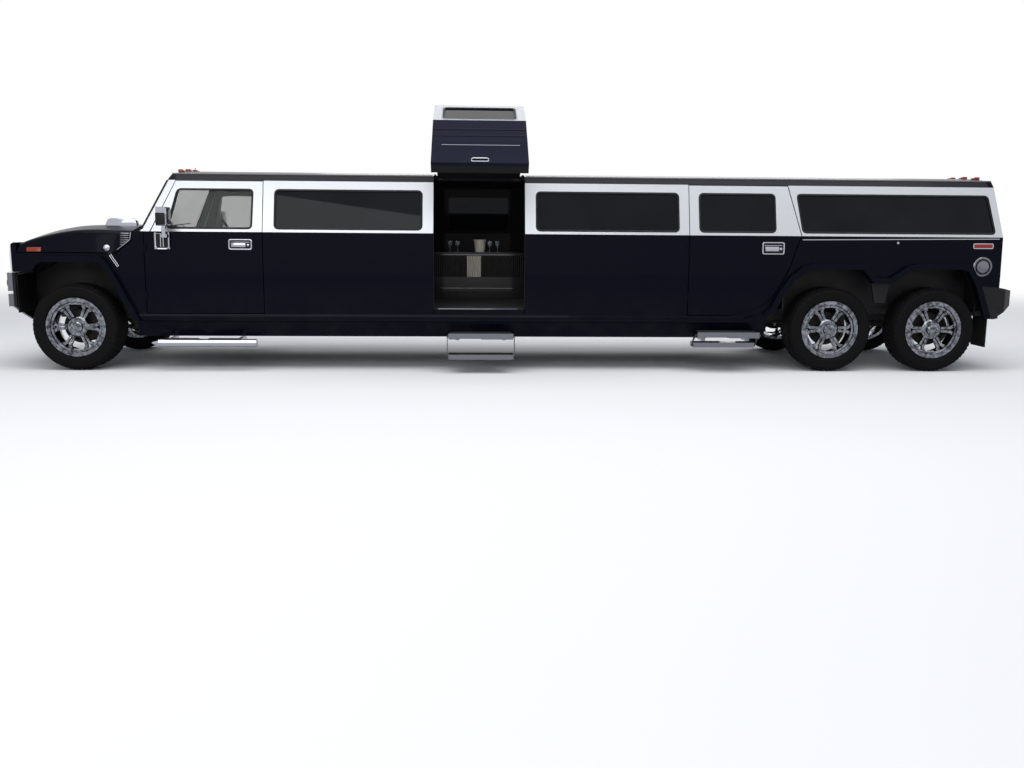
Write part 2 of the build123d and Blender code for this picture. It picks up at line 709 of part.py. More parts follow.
def chassis_frame():
    """Two long rails joined by cross members, with outriggers and the hitch receiver."""
    front = BUMPER_REAR_X
    rail = block(front, FRAME_END_X, -RAIL_OUTER_Y, -RAIL_Y, RAIL_BOTTOM_Z, SILL_TOP_Z)
    rail += block(front, front + 60, -RAIL_OUTER_Y, -RAIL_Y, SILL_TOP_Z, 760)
    for x in OUTRIGGERS:
        half = OUTRIGGER_WIDTH / 2
        rail += block(x - half, x + half, -SILL_HALF + 100, -RAIL_OUTER_Y, RAIL_BOTTOM_Z + 30, SILL_TOP_Z)
    frame = rail + mirrored(rail)
    for x in CROSS_MEMBERS:
        half = CROSS_MEMBER_WIDTH / 2
        frame += block(x - half, x + half, -RAIL_Y, RAIL_Y, RAIL_BOTTOM_Z + 20, SILL_TOP_Z - 10)
    tube = HITCH_HALF
    bore = HITCH_BORE / 2
    mouth = REAR_BUMPER_TIP_X - 20
    frame += block(FRAME_END_X - 10, mouth, -tube, tube, HITCH_Z - tube, HITCH_Z + tube)
    socket = block(FRAME_END_X, mouth + 1, -bore, bore, HITCH_Z - bore, HITCH_Z + bore)
    return frame - socket - rod_y(HITCH_PIN_RADIUS, HITCH_PIN_X, -60, 60, HITCH_Z)


def floor_pan():
    """Cabin floor, narrowed over the tandem wheels, with the doorway's threshold."""
    half = SILL_HALF - WALL
    front, rear = MID_AXLE_X - 617, REAR_AXLE_X + TYRE_RADIUS
    outline = [
        (DOOR_FRONT_X, -half), (front - 100, -half), (front, -WHEEL_ROOM_Y), (rear, -WHEEL_ROOM_Y),
        (rear + 60, -half), (TAIL_X - 65, -half),
    ]
    outline += [(x, -y) for x, y in reversed(outline)]
    floor = prism_z(outline, SILL_TOP_Z, FLOOR_TOP_Z)
    low, high = JET_FRONT_X + SEAM, JET_REAR_X - SEAM
    return floor + block(low, high, -BODY_HALF + 12, -half, SILL_TOP_Z, FLOOR_TOP_Z)


def front_liner():
    """Left front wheel's liner, with its inner wall above the suspension."""
    inside = make_face(Polyline([(x, -OUTSIDE, z) for x, z in FRONT_LINER], close=True))
    outside = offset(inside, LINER_WALL, kind=Kind.INTERSECTION)
    low = -LINER_INNER_Y
    strip = extrude(outside, OUTSIDE + low, dir=(0, 1, 0)) - extrude(inside, OUTSIDE + low, dir=(0, 1, 0))
    room = HUB_Z + KNUCKLE_HALF_HEIGHT + ARM_THICKNESS + 12
    wall = prism_y(FRONT_LINER, low, low + LINER_WALL) - block(-OUTSIDE, OUTSIDE, -OUTSIDE, 0, 0, room)
    space = interior(SILL_TOP_Z, WING_TOP_Z, NOSE_X, DOOR_FRONT_X)
    return (strip + wall) & space


def arch_wedge():
    """Panel that closes the left side between the tandem wheels."""
    front, rear = REAR_ARCH[len(MID_ARCH) - 1], REAR_ARCH[len(MID_ARCH)]
    outline = [front, rear, (rear[0] - 36, rear[1] - 205), (front[0] + 42, front[1] - 205)]
    return prism_y(outline, -BODY_HALF + 20, -BODY_HALF + 48)


def wheelhouses():
    """Liners over the front wheels and housings over the tandem wheels."""
    inner = WHEEL_ROOM_Y - 30
    top = max(z for _, z in REAR_ARCH) + 32
    front, rear = MID_AXLE_X - 482, REAR_AXLE_X + 483
    shell = block(front, rear, -BODY_HALF, -inner, FLOOR_TOP_Z, top)
    hollow = block(front + 15, rear - 15, -OUTSIDE, -inner - 30, FLOOR_TOP_Z - 1, top - 30)
    shell = (shell - hollow) & interior(FLOOR_TOP_Z, top, front, rear)
    door_room = -half_width(top) + WALL + SEAM
    shell = shell - block(front - 1, front + 165, -OUTSIDE, door_room, FLOOR_TOP_Z, top + 1)
    return pair(shell) + pair(front_liner()) + pair(arch_wedge())


def sills():
    """Rocker boxes with a ledge along the outside, which rises to the rear wheels."""
    ledge = BODY_HALF + LEDGE_REACH
    outline = [
        (-SILL_HALF, SILL_BOTTOM_Z), (-half_width(430) - 6, 430), (-half_width(480) - 8, LEDGE_BOTTOM_Z - 8),
        (-ledge, LEDGE_BOTTOM_Z), (-ledge, LEDGE_TOP_Z - 6), (-ledge + 12, LEDGE_TOP_Z),
        (-half_width(SILL_TOP_Z), SILL_TOP_Z), (-SILL_HALF + 100, SILL_TOP_Z),
        (-SILL_HALF + 100, SILL_BOTTOM_Z + 40), (-SILL_HALF + 60, SILL_BOTTOM_Z),
    ]
    bend = MID_AXLE_X - 900
    sill = prism_x(outline, HOOD_REAR_X + 25, bend)
    plain = [point for point in outline if abs(point[0]) < ledge - 13]
    sill += prism_x(plain, bend, MID_AXLE_X - 637)
    riser = [
        (bend - 2, LEDGE_BOTTOM_Z), (MID_AXLE_X - 580, LEDGE_BOTTOM_Z + 86),
        (MID_AXLE_X - 580, LEDGE_TOP_Z + 86), (bend - 2, LEDGE_TOP_Z),
    ]
    reach = block(bend - 2, MID_AXLE_X, -ledge, -half_width(LEDGE_TOP_Z) + 20, 0, WAIST_Z)
    sill += (across(riser) & reach) - body_mass()
    return pair(sill - across(FRONT_ARCH) - across(REAR_ARCH) - arch_flares())


def arch_flares():
    """Flares round the wheel arches of the left side."""
    parts = []
    # Each arch with the lowest heights of its front leg and of its rear one
    rows = [
        (FRONT_ARCH, NOSE_BOTTOM_Z + 12, LEDGE_BOTTOM_Z),
        (REAR_ARCH, LEDGE_BOTTOM_Z + 86, LEDGE_BOTTOM_Z + 50),
    ]
    for arch, front_z, rear_z in rows:
        face = make_face(Polyline([(x, -BODY_HALF + 10, z) for x, z in arch], close=True))
        wide = offset(face, FLARE_WIDTH, kind=Kind.INTERSECTION)
        ring = extrude(wide, FLARE_REACH + 10, dir=(0, -1, 0))
        ring = ring - across(arch) - body_mass()
        low, high = min(x for x, _ in arch) - 100, max(x for x, _ in arch) + 100
        middle = (low + high) / 2
        ring -= block(low, middle, -OUTSIDE, 0, 0, front_z)
        parts.append(ring - block(middle, high, -OUTSIDE, 0, 0, rear_z))
    return parts


def flares():
    """Wheel arch flares on both sides."""
    return [flare for ring in arch_flares() for flare in pair(ring)]


def mudflaps():
    """Flaps behind the last wheels."""
    flap = REAR_AXLE_X + 575
    flap = block(flap, flap + 8, -BODY_HALF - 10, -WHEEL_ROOM_Y - 10, 255, SILL_TOP_Z)
    return pair(flap - arch_flares())


# Front end

def front_wings():
    """Wings over the front wheels, up to the hood and back to the doors."""
    front = NOSE_REAR_X
    rise = HOOD_REAR_X + SEAM
    outline = [
        (front, NOSE_BOTTOM_Z), (front, WING_TOP_Z), (rise - 153, WING_TOP_Z), (rise, WING_TOP_Z + 120),
        (rise, BELT_Z), (DOOR_FRONT_X, BELT_Z), (DOOR_FRONT_X, SILL_TOP_Z), (560, SILL_TOP_Z),
        (-440, NOSE_BOTTOM_Z),
    ]
    wing = side_wall(front, DOOR_FRONT_X, SILL_TOP_Z, BELT_Z) & across(outline)
    wing = wing - across(FRONT_ARCH)
    for z in DOOR_HINGE_ZS:
        wing += door_hinge(DOOR_FRONT_X, z)
    return pair(wing)


def hood_section(x, rises, inset=0.0):
    """Outline of the hood at a station, drawn in by an inset."""
    crown, shoulder, edge = (WING_TOP_Z + rise for rise in rises)
    half = [
        (HOOD_HALF - inset, HOOD_SKIRT_Z - inset / 8),
        (HOOD_EDGE_HALF - inset, edge - inset),
        (HOOD_SHOULDER_HALF, shoulder - inset),
        (0, crown - inset),
    ]
    points = [(x, -y, z) for y, z in half] + [(x, y, z) for y, z in reversed(half[:-1])]
    return make_face(Polyline(points, close=True))


def hood():
    """Front hinged hood with raised centre and its side skirts."""
    outer = loft([hood_section(x, rises) for x, *rises in HOOD_SECTIONS], ruled=True)
    stations = [x for x, *_ in HOOD_SECTIONS]
    stations[0] += WALL
    stations[-1] += 1
    inset = WALL * 0.7
    inner = loft(
        [hood_section(x, row[1:], inset) for x, row in zip(stations, HOOD_SECTIONS)], ruled=True
    )
    rear = HOOD_REAR_X
    corner = [
        (rear - 153, HOOD_SKIRT_Z - 20), (rear - 153, HOOD_SKIRT_Z), (rear, HOOD_SKIRT_Z + 120),
        (rear + 20, HOOD_SKIRT_Z + 120), (rear + 20, HOOD_SKIRT_Z - 20),
    ]
    return outer - inner - prism_y(corner, -OUTSIDE, OUTSIDE)


def hood_scoops():
    """Bright air scoops on both shoulders of the hood."""
    low, high = WING_TOP_Z + 260, WING_TOP_Z + 350
    front, rear = HOOD_REAR_X - 385, HOOD_REAR_X - 40
    outline = [
        (front, low), (front + 42, high - 14), (front + 70, high - 2), (front + 290, high),
        (front + 322, high - 16), (rear, low),
    ]
    y = -HOOD_SHOULDER_HALF + 20
    scoop = prism_y(outline, y - 38, y + 38)
    inside = loft([hood_section(x, rises) for x, *rises in HOOD_SECTIONS], ruled=True)
    return pair(scoop - inside)


def nose():
    """Nose with grille slots, square lamp housings and the hood's hinge pins."""
    half = BODY_HALF - 15
    rear = NOSE_REAR_X
    outline = [
        (NOSE_X + 55, NOSE_BOTTOM_Z), (NOSE_X, NOSE_BOTTOM_Z + 60), (NOSE_X + 18, NOSE_TOP_Z - 162),
        (NOSE_X + 61, NOSE_TOP_Z - 29), (NOSE_X + 105, NOSE_TOP_Z), (rear, NOSE_TOP_Z),
        (rear, NOSE_BOTTOM_Z),
    ]
    plan = [(NOSE_X, -480), (NOSE_X + 31, -half + 70), (NOSE_X + 80, -half), (rear, -half)]
    plan += [(x, -y) for x, y in reversed(plan)]
    panel = prism_y(outline, -half, half) & prism_z(plan, NOSE_BOTTOM_Z - 10, NOSE_TOP_Z + 10)
    low, high = NOSE_BOTTOM_Z + 45, NOSE_TOP_Z - 65
    slot = GRILLE_SLOT_WIDTH / 2
    for index in range(GRILLE_SLOTS):
        y = (index - (GRILLE_SLOTS - 1) / 2) * GRILLE_PITCH
        panel -= block(NOSE_X - 20, rear + 1, y - slot, y + slot, low, high)
    room = HEADLAMP_RADIUS + 15
    for side in (-1, 1):
        y = side * HEADLAMP_Y
        bottom, top = HEADLAMP_Z - room, HEADLAMP_Z + room
        panel -= block(NOSE_X - 20, rear - 8, y - room - 30, y + room + 30, bottom, top)
        y = side * 450
        panel += rod_y(PIN_RADIUS, HOOD_HINGE_X, y - 60, y + 60, HOOD_HINGE_Z)
        panel += block(HOOD_HINGE_X - 20, HOOD_HINGE_X, y - 50, y + 50, NOSE_TOP_Z - 5, HOOD_HINGE_Z)
    return panel


def bumper_line(ahead=0.0):
    """Front line of the bumper core in plan, or a line ahead of it."""
    tip = BUMPER_TIP_X + PLATE_THICKNESS
    line = [(tip + 151, -SILL_HALF), (tip + 31, -620), (tip, -400)]
    line += [(x, -y) for x, y in reversed(line)]
    return [(x - ahead, y) for x, y in line]


def front_bumper():
    """Bumper core between the rails' ends and the nose."""
    plan = bumper_line() + [(BUMPER_REAR_X, SILL_HALF), (BUMPER_REAR_X, -SILL_HALF)]
    return prism_z(plan, BUMPER_BOTTOM_Z, NOSE_BOTTOM_Z - 10)


def bumper_plates():
    """Bright plates across the front and the skid plate below them."""
    outline = bumper_line(PLATE_THICKNESS) + list(reversed(bumper_line()))
    low = BUMPER_BOTTOM_Z
    upper = prism_z(outline, low + 154, low + 338)
    lower = prism_z(outline, low, low + 126)
    tip = BUMPER_TIP_X
    rear = tip + 226
    skid = [
        (tip + 4, low + 10), (tip + 108, low - 78), (rear, low - 155), (rear, low - 140),
        (tip + 112, low - 62), (tip + 40, low + 1),
    ]
    return [upper, lower + prism_y(skid, -620, 620)]


def cowl_frame():
    """Firewall, cowl, windscreen pillars and header."""
    rear = HOOD_REAR_X + SEAM
    low = WING_TOP_Z + 150
    cowl = [
        (rear, low), (rear, BELT_Z), (SCREEN_BASE_X, SCREEN_BASE_Z), (DOOR_FRONT_X, SCREEN_BASE_Z),
        (DOOR_FRONT_X, low),
    ]
    frame = prism_y(cowl, -OUTSIDE, OUTSIDE) & interior(SILL_TOP_Z, BAND_TOP_Z, 0, DOOR_FRONT_X)
    frame += interior(SILL_TOP_Z, low, DOOR_FRONT_X - 30, DOOR_FRONT_X)
    outline = [
        (screen_x(BELT_Z), BELT_Z), (pillar_x(BELT_Z), BELT_Z), (PILLAR_TOP_X, BAND_TOP_Z),
        (screen_x(BAND_TOP_Z), BAND_TOP_Z),
    ]
    pillar = side_wall(HOOD_REAR_X, PILLAR_TOP_X + 50, BELT_Z, BAND_TOP_Z) & across(outline)
    return frame + pillar + mirrored(pillar) + roof_cover(PILLAR_TOP_X)


def engine_block():
    """Engine and radiator as plain masses."""
    base = SILL_TOP_Z + 45
    engine = block(-420, 420, -300, 300, base, base + 500)
    sump = block(-380, 300, -200, 200, base - 80, base)
    gearbox = block(420, GEARBOX_REAR_X, -160, 160, SHAFT_Z - 50, base + 140)
    mounts = block(-60, 60, -RAIL_Y - 20, RAIL_Y + 20, SILL_TOP_Z, base + 20)
    front = BUMPER_REAR_X + 65
    radiator = block(front, front + 40, -RAIL_Y - 45, RAIL_Y + 45, SILL_TOP_Z, WING_TOP_Z - 20)
    return [engine + sump + gearbox + mounts, radiator]


# Sides, doors and roof

def side_panels_left():
    """Fixed sides before and behind the jet door."""
    front = side_wall(FRONT_DOOR_REAR_X, JET_FRONT_X, SILL_TOP_Z, BAND_TOP_Z)
    rear = side_wall(JET_REAR_X, REAR_DOOR_FRONT_X, SILL_TOP_Z, BAND_TOP_Z)
    for z in DOOR_HINGE_ZS:
        rear += door_hinge(REAR_DOOR_FRONT_X, z)
    return [front - rounded_window(*SALOON_WINDOWS[0]), rear - rounded_window(*SALOON_WINDOWS[1])]


def side_panel_right():
    """Fixed right side with three windows."""
    side = side_wall(FRONT_DOOR_REAR_X, REAR_DOOR_FRONT_X, SILL_TOP_Z, BAND_TOP_Z)
    for window in SALOON_WINDOWS + [JET_WINDOW]:
        side -= rounded_window(*window)
    for z in DOOR_HINGE_ZS:
        side += door_hinge(REAR_DOOR_FRONT_X, z)
    return mirrored(side)


def quarter_panels():
    """Sides over the tandem wheels, behind the rear doors."""
    outline = REAR_DOOR_EDGE + [
        (rear_x(BAND_TOP_Z), BAND_TOP_Z), (TAIL_X, BELT_Z), (TAIL_X, TAIL_SKIRT_Z),
        (TAIL_X - 255, TAIL_SKIRT_Z), (TAIL_X - 255, SILL_TOP_Z),
    ]
    panel = side_wall(REAR_DOOR_EDGE[0][0], TAIL_X, SILL_TOP_Z, BAND_TOP_Z) & across(outline)
    return pair(panel - across(REAR_ARCH) - cornered_window(QUARTER_WINDOW))


def front_door():
    """Left front door with its window frame."""
    front, rear = DOOR_FRONT_X + SEAM, FRONT_DOOR_REAR_X - SEAM
    outline = [
        (front, DOOR_BOTTOM_Z), (front, BELT_Z - SEAM), (pillar_x(BELT_Z) + SEAM, BELT_Z - SEAM),
        (pillar_x(DOOR_TOP_Z) + SEAM, DOOR_TOP_Z), (rear, DOOR_TOP_Z), (rear, DOOR_BOTTOM_Z),
    ]
    door = side_wall(front, rear, DOOR_BOTTOM_Z, DOOR_TOP_Z) & across(outline)
    for z in DOOR_HINGE_ZS:
        door += door_knuckle(DOOR_FRONT_X, z)
    return door - cornered_window(FRONT_WINDOW)


def door_mirror():
    """Left door mirror on its bracket, seated on the door's skin."""
    x = DOOR_FRONT_X + 235
    stalk_y = -MIRROR_HALF + 120
    arm = block(x - 30, x + 30, stalk_y - 10, -half_width(BELT_Z - 40), BELT_Z - 60, BELT_Z - 28)
    arm = arm - side_wall(x - 40, x + 40, BELT_Z - 100, BELT_Z)
    foot = side_wall(x - 118, x + 34, BELT_Z - 175, BELT_Z - 18)
    foot = Pos(0, -20, 0) * foot - side_wall(x - 130, x + 50, BELT_Z - 200, BELT_Z, 3 * WALL)
    stalk = rod_z(22, x, stalk_y, BELT_Z - 60, BELT_Z + 80)
    head = block(x - 40, x + 62, -MIRROR_HALF, -MIRROR_HALF + 170, BELT_Z + 60, BELT_Z + 238)
    head = fillet(head.edges().filter_by(Axis.Z), 22)
    return arm + foot + stalk + head


def rear_door():
    """Left rear door, its rear edge swept along the wheel arch."""
    front = REAR_DOOR_FRONT_X + SEAM
    edge = [(x - SEAM - 2, z) for x, z in REAR_DOOR_EDGE]
    outline = [(front, LEDGE_BOTTOM_Z), (front, ROOF_TOP_Z), (edge[-1][0] - 22, ROOF_TOP_Z)]
    outline += list(reversed(edge)) + [(edge[0][0] - 12, LEDGE_BOTTOM_Z)]
    door = side_wall(front, MID_AXLE_X, DOOR_BOTTOM_Z, DOOR_TOP_Z) & across(outline)
    for z in DOOR_HINGE_ZS:
        door += door_knuckle(REAR_DOOR_FRONT_X, z)
    return door - rounded_window(*REAR_WINDOW)


def hinge_barrels(on_door):
    """Every second length of the jet door's roof hinge, with its leaf."""
    length = (JET_DOOR_LENGTH - 2 * SEAM) / HINGE_BARREL_COUNT
    side = -1 if on_door else 1
    slot = SEAM / 2
    parts = []
    for index in range(1 if on_door else 0, HINGE_BARREL_COUNT, 2):
        low = JET_FRONT_X + SEAM + index * length + RUNNING_GAP / 2
        high = low + length - RUNNING_GAP
        barrel = rod_x(HINGE_BARREL_RADIUS, low, high, JET_HINGE_Y, JET_HINGE_Z)
        leaf_low, leaf_high = sorted((JET_HINGE_Y, JET_HINGE_Y + side * HINGE_LEAF))
        leaf = block(low, high, leaf_low, leaf_high, ROOF_TOP_Z - 9, ROOF_TOP_Z + 3)
        seam = block(low, high, JET_HINGE_Y - slot, JET_HINGE_Y + slot, ROOF_TOP_Z - 20, ROOF_TOP_Z - 0.5)
        parts.append(barrel + (leaf - seam))
    return parts


def jet_outline():
    """Outline of the jet door from its foot over the roof to the hinge."""
    foot = FLOOR_TOP_Z + SEAM
    end = JET_HINGE_Y - SEAM / 2
    levels = heights(foot, BAND_TOP_Z)
    outer = [(-half_width(z), z) for z in levels]
    outer += [(-y, z) for y, z in ROOF_SECTION[1:]] + [(end, roof_z(end))]
    inner = [(end, roof_z(end) - ROOF_THICKNESS), (0, ROOF_TOP_Z - ROOF_THICKNESS)]
    inner += [(-y + 6, z - ROOF_THICKNESS) for y, z in reversed(ROOF_SECTION[1:-1])]
    inner += [(-BAND_HALF + WALL, BAND_TOP_Z - 12)]
    inner += [(-half_width(z) + JET_WALL, z) for z in reversed(levels[:-1])]
    return outer + inner


def jet_open(shape):
    """A piece of the shut jet door, turned open."""
    return turn_about(shape, JET_HINGE_Y, JET_HINGE_Z, -JET_OPEN_ANGLE)


def jet_door():
    """Jet door with its share of the roof, drawn shut and turned open."""
    door = prism_x(jet_outline(), JET_FRONT_X + SEAM, JET_REAR_X - SEAM)
    return jet_open(door - rounded_window(*JET_WINDOW) + hinge_barrels(True))


def roof_panel():
    """Roof sheet with the jet door's opening cut from its left half."""
    roof = prism_x(roof_line() + list(reversed(roof_underside())), PILLAR_TOP_X, TAIL_X)
    rear = [
        (PILLAR_TOP_X, BAND_TOP_Z), (PILLAR_TOP_X, ROOF_TOP_Z + 60),
        (rear_x(ROOF_TOP_Z + 60) - WALL, ROOF_TOP_Z + 60), (rear_x(BAND_TOP_Z) - WALL, BAND_TOP_Z),
    ]
    low, high = BAND_TOP_Z - 50, ROOF_TOP_Z + 100
    opening = block(JET_FRONT_X, JET_REAR_X, -OUTSIDE, JET_HINGE_Y + SEAM / 2, low, high)
    return (roof & prism_y(rear, -OUTSIDE, OUTSIDE)) - opening + hinge_barrels(False)


def tailgate_outline(gap):
    """Tailgate outline as Y and Z, drawn in by a gap."""
    half = [
        (TAILGATE_HALF - gap, TAILGATE_BOTTOM_Z + gap),
        (TAILGATE_HALF - gap, BELT_Z),
        (TAILGATE_TOP_HALF - gap, TAILGATE_TOP_Z - gap),
    ]
    return half + [(-y, z) for y, z in reversed(half)]


TAILGATE_HINGE_Z = TAILGATE_TOP_Z - SEAM / 2
TAILGATE_HINGE_X = rear_x(TAILGATE_HINGE_Z)


def rear_frame():
    """Rear wall round the tailgate, with the rear header and the tailgate's hinge pins."""
    low = TAIL_SKIRT_Z
    frame = rear_slab(low, BAND_TOP_Z) & interior(low, BAND_TOP_Z, TAIL_X - 300, REAR_BUMPER_TIP_X)
    frame = frame - rear_prism(tailgate_outline(0))
    frame += rear_slab(BAND_TOP_Z, ROOF_TOP_Z) & roof_mass()
    x, z = TAILGATE_HINGE_X, TAILGATE_HINGE_Z
    for y in (-400, 400):
        frame += rod_y(PIN_RADIUS, x, y - 70, y + 70, z)
        frame += block(x - 30, x + 3, y - 60, y + 60, z, TAILGATE_TOP_Z + 10)
    return frame


def tailgate():
    """Top hinged tailgate with its window cut out."""
    gate = rear_slab(TAILGATE_BOTTOM_Z, TAILGATE_TOP_Z) & rear_prism(tailgate_outline(SEAM))
    return gate - rear_prism(TAIL_WINDOW)


def tailgate_glass():
    """Pane set in the tailgate."""
    clear = GLASS_CLEARANCE
    middle = (WINDOW_BOTTOM_Z + WINDOW_TOP_Z) / 2
    outline = []
    for y, z in TAIL_WINDOW:
        outline.append((y - clear if y > 0 else y + clear, z + clear if z < middle else z - clear))
    sheet = Pos(-GLASS_INSET, 0, 0) * rear_slab(BELT_Z, BAND_TOP_Z, GLASS_THICKNESS)
    return sheet & rear_prism(outline)


def fixed_glass():
    """Windscreen and every pane that is set in the fixed body."""
    low, high = screen_x(SCREEN_BASE_Z), screen_x(BAND_TOP_Z)
    screen = [
        (low, SCREEN_BASE_Z), (high, BAND_TOP_Z), (high + GLASS_THICKNESS + 1, BAND_TOP_Z),
        (low + GLASS_THICKNESS + 1, SCREEN_BASE_Z),
    ]
    room = interior(SCREEN_BASE_Z, BAND_TOP_Z, HOOD_REAR_X, PILLAR_TOP_X)
    panes = [prism_y(screen, -OUTSIDE, OUTSIDE) & room]
    for window in SALOON_WINDOWS:
        panes += pair(side_pane(*window))
    panes.append(mirrored(side_pane(*JET_WINDOW)))
    return panes + pair(corner_pane(QUARTER_WINDOW))


def rear_bumper():
    """Step bumper across the tail, wrapped forwards along both sides."""
    tip, tail, low = REAR_BUMPER_TIP_X, TAIL_X, TAIL_SKIRT_Z
    outline = [
        (tail, low), (tail, low + 240), (tip, low + 210), (tip, low + 50), (tail - 35, low - 80),
        (FRAME_END_X, low - 80), (FRAME_END_X, low),
    ]
    half = BODY_HALF + BUMPER_PROUD
    plan = [(tail - BUMPER_WRAP, -half), (tail + 60, -half), (tip, -half + 70)]
    plan += [(x, -y) for x, y in reversed(plan)]
    bumper = prism_y(outline, -half, half) & prism_z(plan, low - 100, low + 260)
    wrap = [
        (tail - BUMPER_WRAP, low + 257), (tail + 1, low + 240), (tail + 1, low - 80), (tail - 56, low - 89),
        (tail - 150, low - 40),
    ]
    wrap = prism_y(wrap, -half, 0) - body_mass() - arch_flares()
    room = HITCH_HALF + 20
    bumper = bumper + wrap + mirrored(wrap)
    return bumper - block(FRAME_END_X - 10, tip + 10, -room, room, HITCH_Z - 50, HITCH_Z + room)


def lamps():
    """Head lamps, tail lamps and roof markers."""
    parts = []
    for side in (-1, 1):
        parts.append(rod_x(HEADLAMP_RADIUS, NOSE_X + 20, NOSE_REAR_X - 8, side * HEADLAMP_Y, HEADLAMP_Z))
        y = side * (BODY_HALF - 135)
        parts.append(block(TAIL_X, TAIL_X + 14, y - 42, y + 42, BELT_Z - 280, BELT_Z - 70))
    roof = roof_cover(TAIL_X)
    for y in MARKER_YS:
        for x in (PILLAR_TOP_X - 22, TAIL_X - 115):
            marker = block(x - 25, x + 25, y - 45, y + 45, ROOF_EDGE_Z, roof_z(y) + MARKER_HEIGHT)
            parts.append(marker - roof)
    return parts


# Interior

def dashboard():
    """Dashboard with the steering wheel on the right."""
    top = BELT_Z + 18
    outline = [
        (DOOR_FRONT_X + 2, top - 350), (DOOR_FRONT_X + 2, top), (DOOR_FRONT_X + 160, top),
        (DOOR_FRONT_X + 300, top - 78), (DOOR_FRONT_X + 320, top - 298), (DOOR_FRONT_X + 200, top - 350),
    ]
    room = interior(SILL_TOP_Z, BELT_Z + 60, DOOR_FRONT_X, DOOR_FRONT_X + 400)
    dash = prism_y(outline, -OUTSIDE, OUTSIDE) & room
    # The wheel faces the driver, tilted back, and its column runs forwards into the dashboard
    centre = Pos(DOOR_FRONT_X + 485, 420, top - 38) * Rot(0, 65, 0)
    column = centre * Pos(0, 0, -125) * Cylinder(28, 250)
    wheel = centre * (Torus(180, 16) + Box(30, 350, 14) + Cylinder(60, 30))
    return dash + column + wheel


def front_seats():
    """Two front seats with head restraints."""
    parts = []
    front = DOOR_FRONT_X + 720
    floor = FLOOR_TOP_Z
    seat_top, back_top, rest_top = floor + SEAT_LIFT, floor + BACK_LIFT, floor + REST_LIFT
    for y in (-SEAT_Y, SEAT_Y):
        half = SEAT_HALF
        seat = block(front, front + 510, y - half, y + half, floor + RUNNING_GAP, seat_top)
        back = [
            (front + 400, seat_top), (front + 540, seat_top), (front + 640, back_top), (front + 530, back_top),
        ]
        rest = [
            (front + 545, back_top), (front + 625, back_top), (front + 650, rest_top), (front + 565, rest_top),
        ]
        parts.append(seat + prism_y(back, y - half + 10, y + half - 10) + prism_y(rest, y - 130, y + 130))
    return parts


def lounge_sofa():
    """Bench along the right side and across the rear of the saloon."""
    low = FLOOR_TOP_Z + RUNNING_GAP
    seat_top, back_top = FLOOR_TOP_Z + SOFA_LIFT, FLOOR_TOP_Z + SOFA_BACK_LIFT
    wall = SILL_HALF - 50
    front, rear = JET_REAR_X + 467, MID_AXLE_X - 637
    sofa = block(front, rear, SOFA_FRONT_Y, wall, low, seat_top)
    sofa += block(front, rear, wall - 90, wall, seat_top, back_top)
    sofa += block(rear - 380, rear, -wall + 30, SOFA_FRONT_Y, low, seat_top)
    sofa += block(rear - 90, rear, -wall + 30, wall - 30, seat_top, back_top + 100)
    return sofa


def bar_cabinet():
    """Bar along the right side opposite the jet door, and the divider behind the driver."""
    front = FRONT_DOOR_REAR_X + 414
    wall = SILL_HALF - 40
    bar = block(front, JET_REAR_X + 317, BAR_FRONT_Y, wall, FLOOR_TOP_Z, FLOOR_TOP_Z + BAR_LIFT)
    divider = interior(FLOOR_TOP_Z, BELT_Z + 100, front - 160, front - 120)
    return [bar, divider]


# Steps

def side_steps():
    """Bright tube steps below the front doors."""
    y = -SILL_HALF - STEP_TUBE_REACH
    low, high = DOOR_FRONT_X + 65 + STEP_TUBE_POINT, FRONT_DOOR_REAR_X - 73
    tube = rod_x(STEP_TUBE_RADIUS, low, high, y, STEP_TUBE_Z)
    point = Cone(STEP_TUBE_RADIUS, STEP_TUBE_RADIUS / 4, STEP_TUBE_POINT)
    tube += Pos(low - STEP_TUBE_POINT / 2, y, STEP_TUBE_Z) * Rot(0, -90, 0) * point
    for x in (low + 125, high - 163):
        tube += block(x - 20, x + 20, y, -SILL_HALF + 40, STEP_TUBE_Z + 10, SILL_BOTTOM_Z - 6)
        tube += block(x - 20, x + 20, -SILL_HALF + 20, -SILL_HALF + 60, STEP_TUBE_Z + 10, SILL_BOTTOM_Z)
    return pair(tube)


def crank_foot(angle):
    """Where the cranks carry the lower tread, for an angle outwards from straight down."""
    y = CRANK_PIN_Y - CRANK_LENGTH * sin(radians(angle))
    return y, CRANK_PIN_Z - CRANK_LENGTH * cos(radians(angle))


def upper_tread(low, high, rise):
    """Fixed tread on brackets from below the sill, with the drive's housing under it."""
    rear = TREAD_OUTER_Y + TREAD_DEPTH
    top = TREAD_TOP_Z + rise
    bottom = top - TREAD_HEIGHT
    tread = block(low, high, TREAD_OUTER_Y, rear, bottom, top)
    tread -= block(low + 90, low + 330, TREAD_OUTER_Y - 1, TREAD_OUTER_Y + 60, bottom - 1, bottom + 18)
    foot = SILL_BOTTOM_Z
    for x in (low + 90, high - 90):
        strut = block(x - 20, x + 20, rear - 60, -SILL_HALF + 60, foot - 25, foot)
        tread += strut + block(x - 20, x + 20, rear - 60, rear, foot - 25, bottom + 1)
    return tread


def step_treads():
    """Fixed treads of both folding steps."""
    return [upper_tread(low, high, rise) for _, low, high, rise, _ in STEPS]


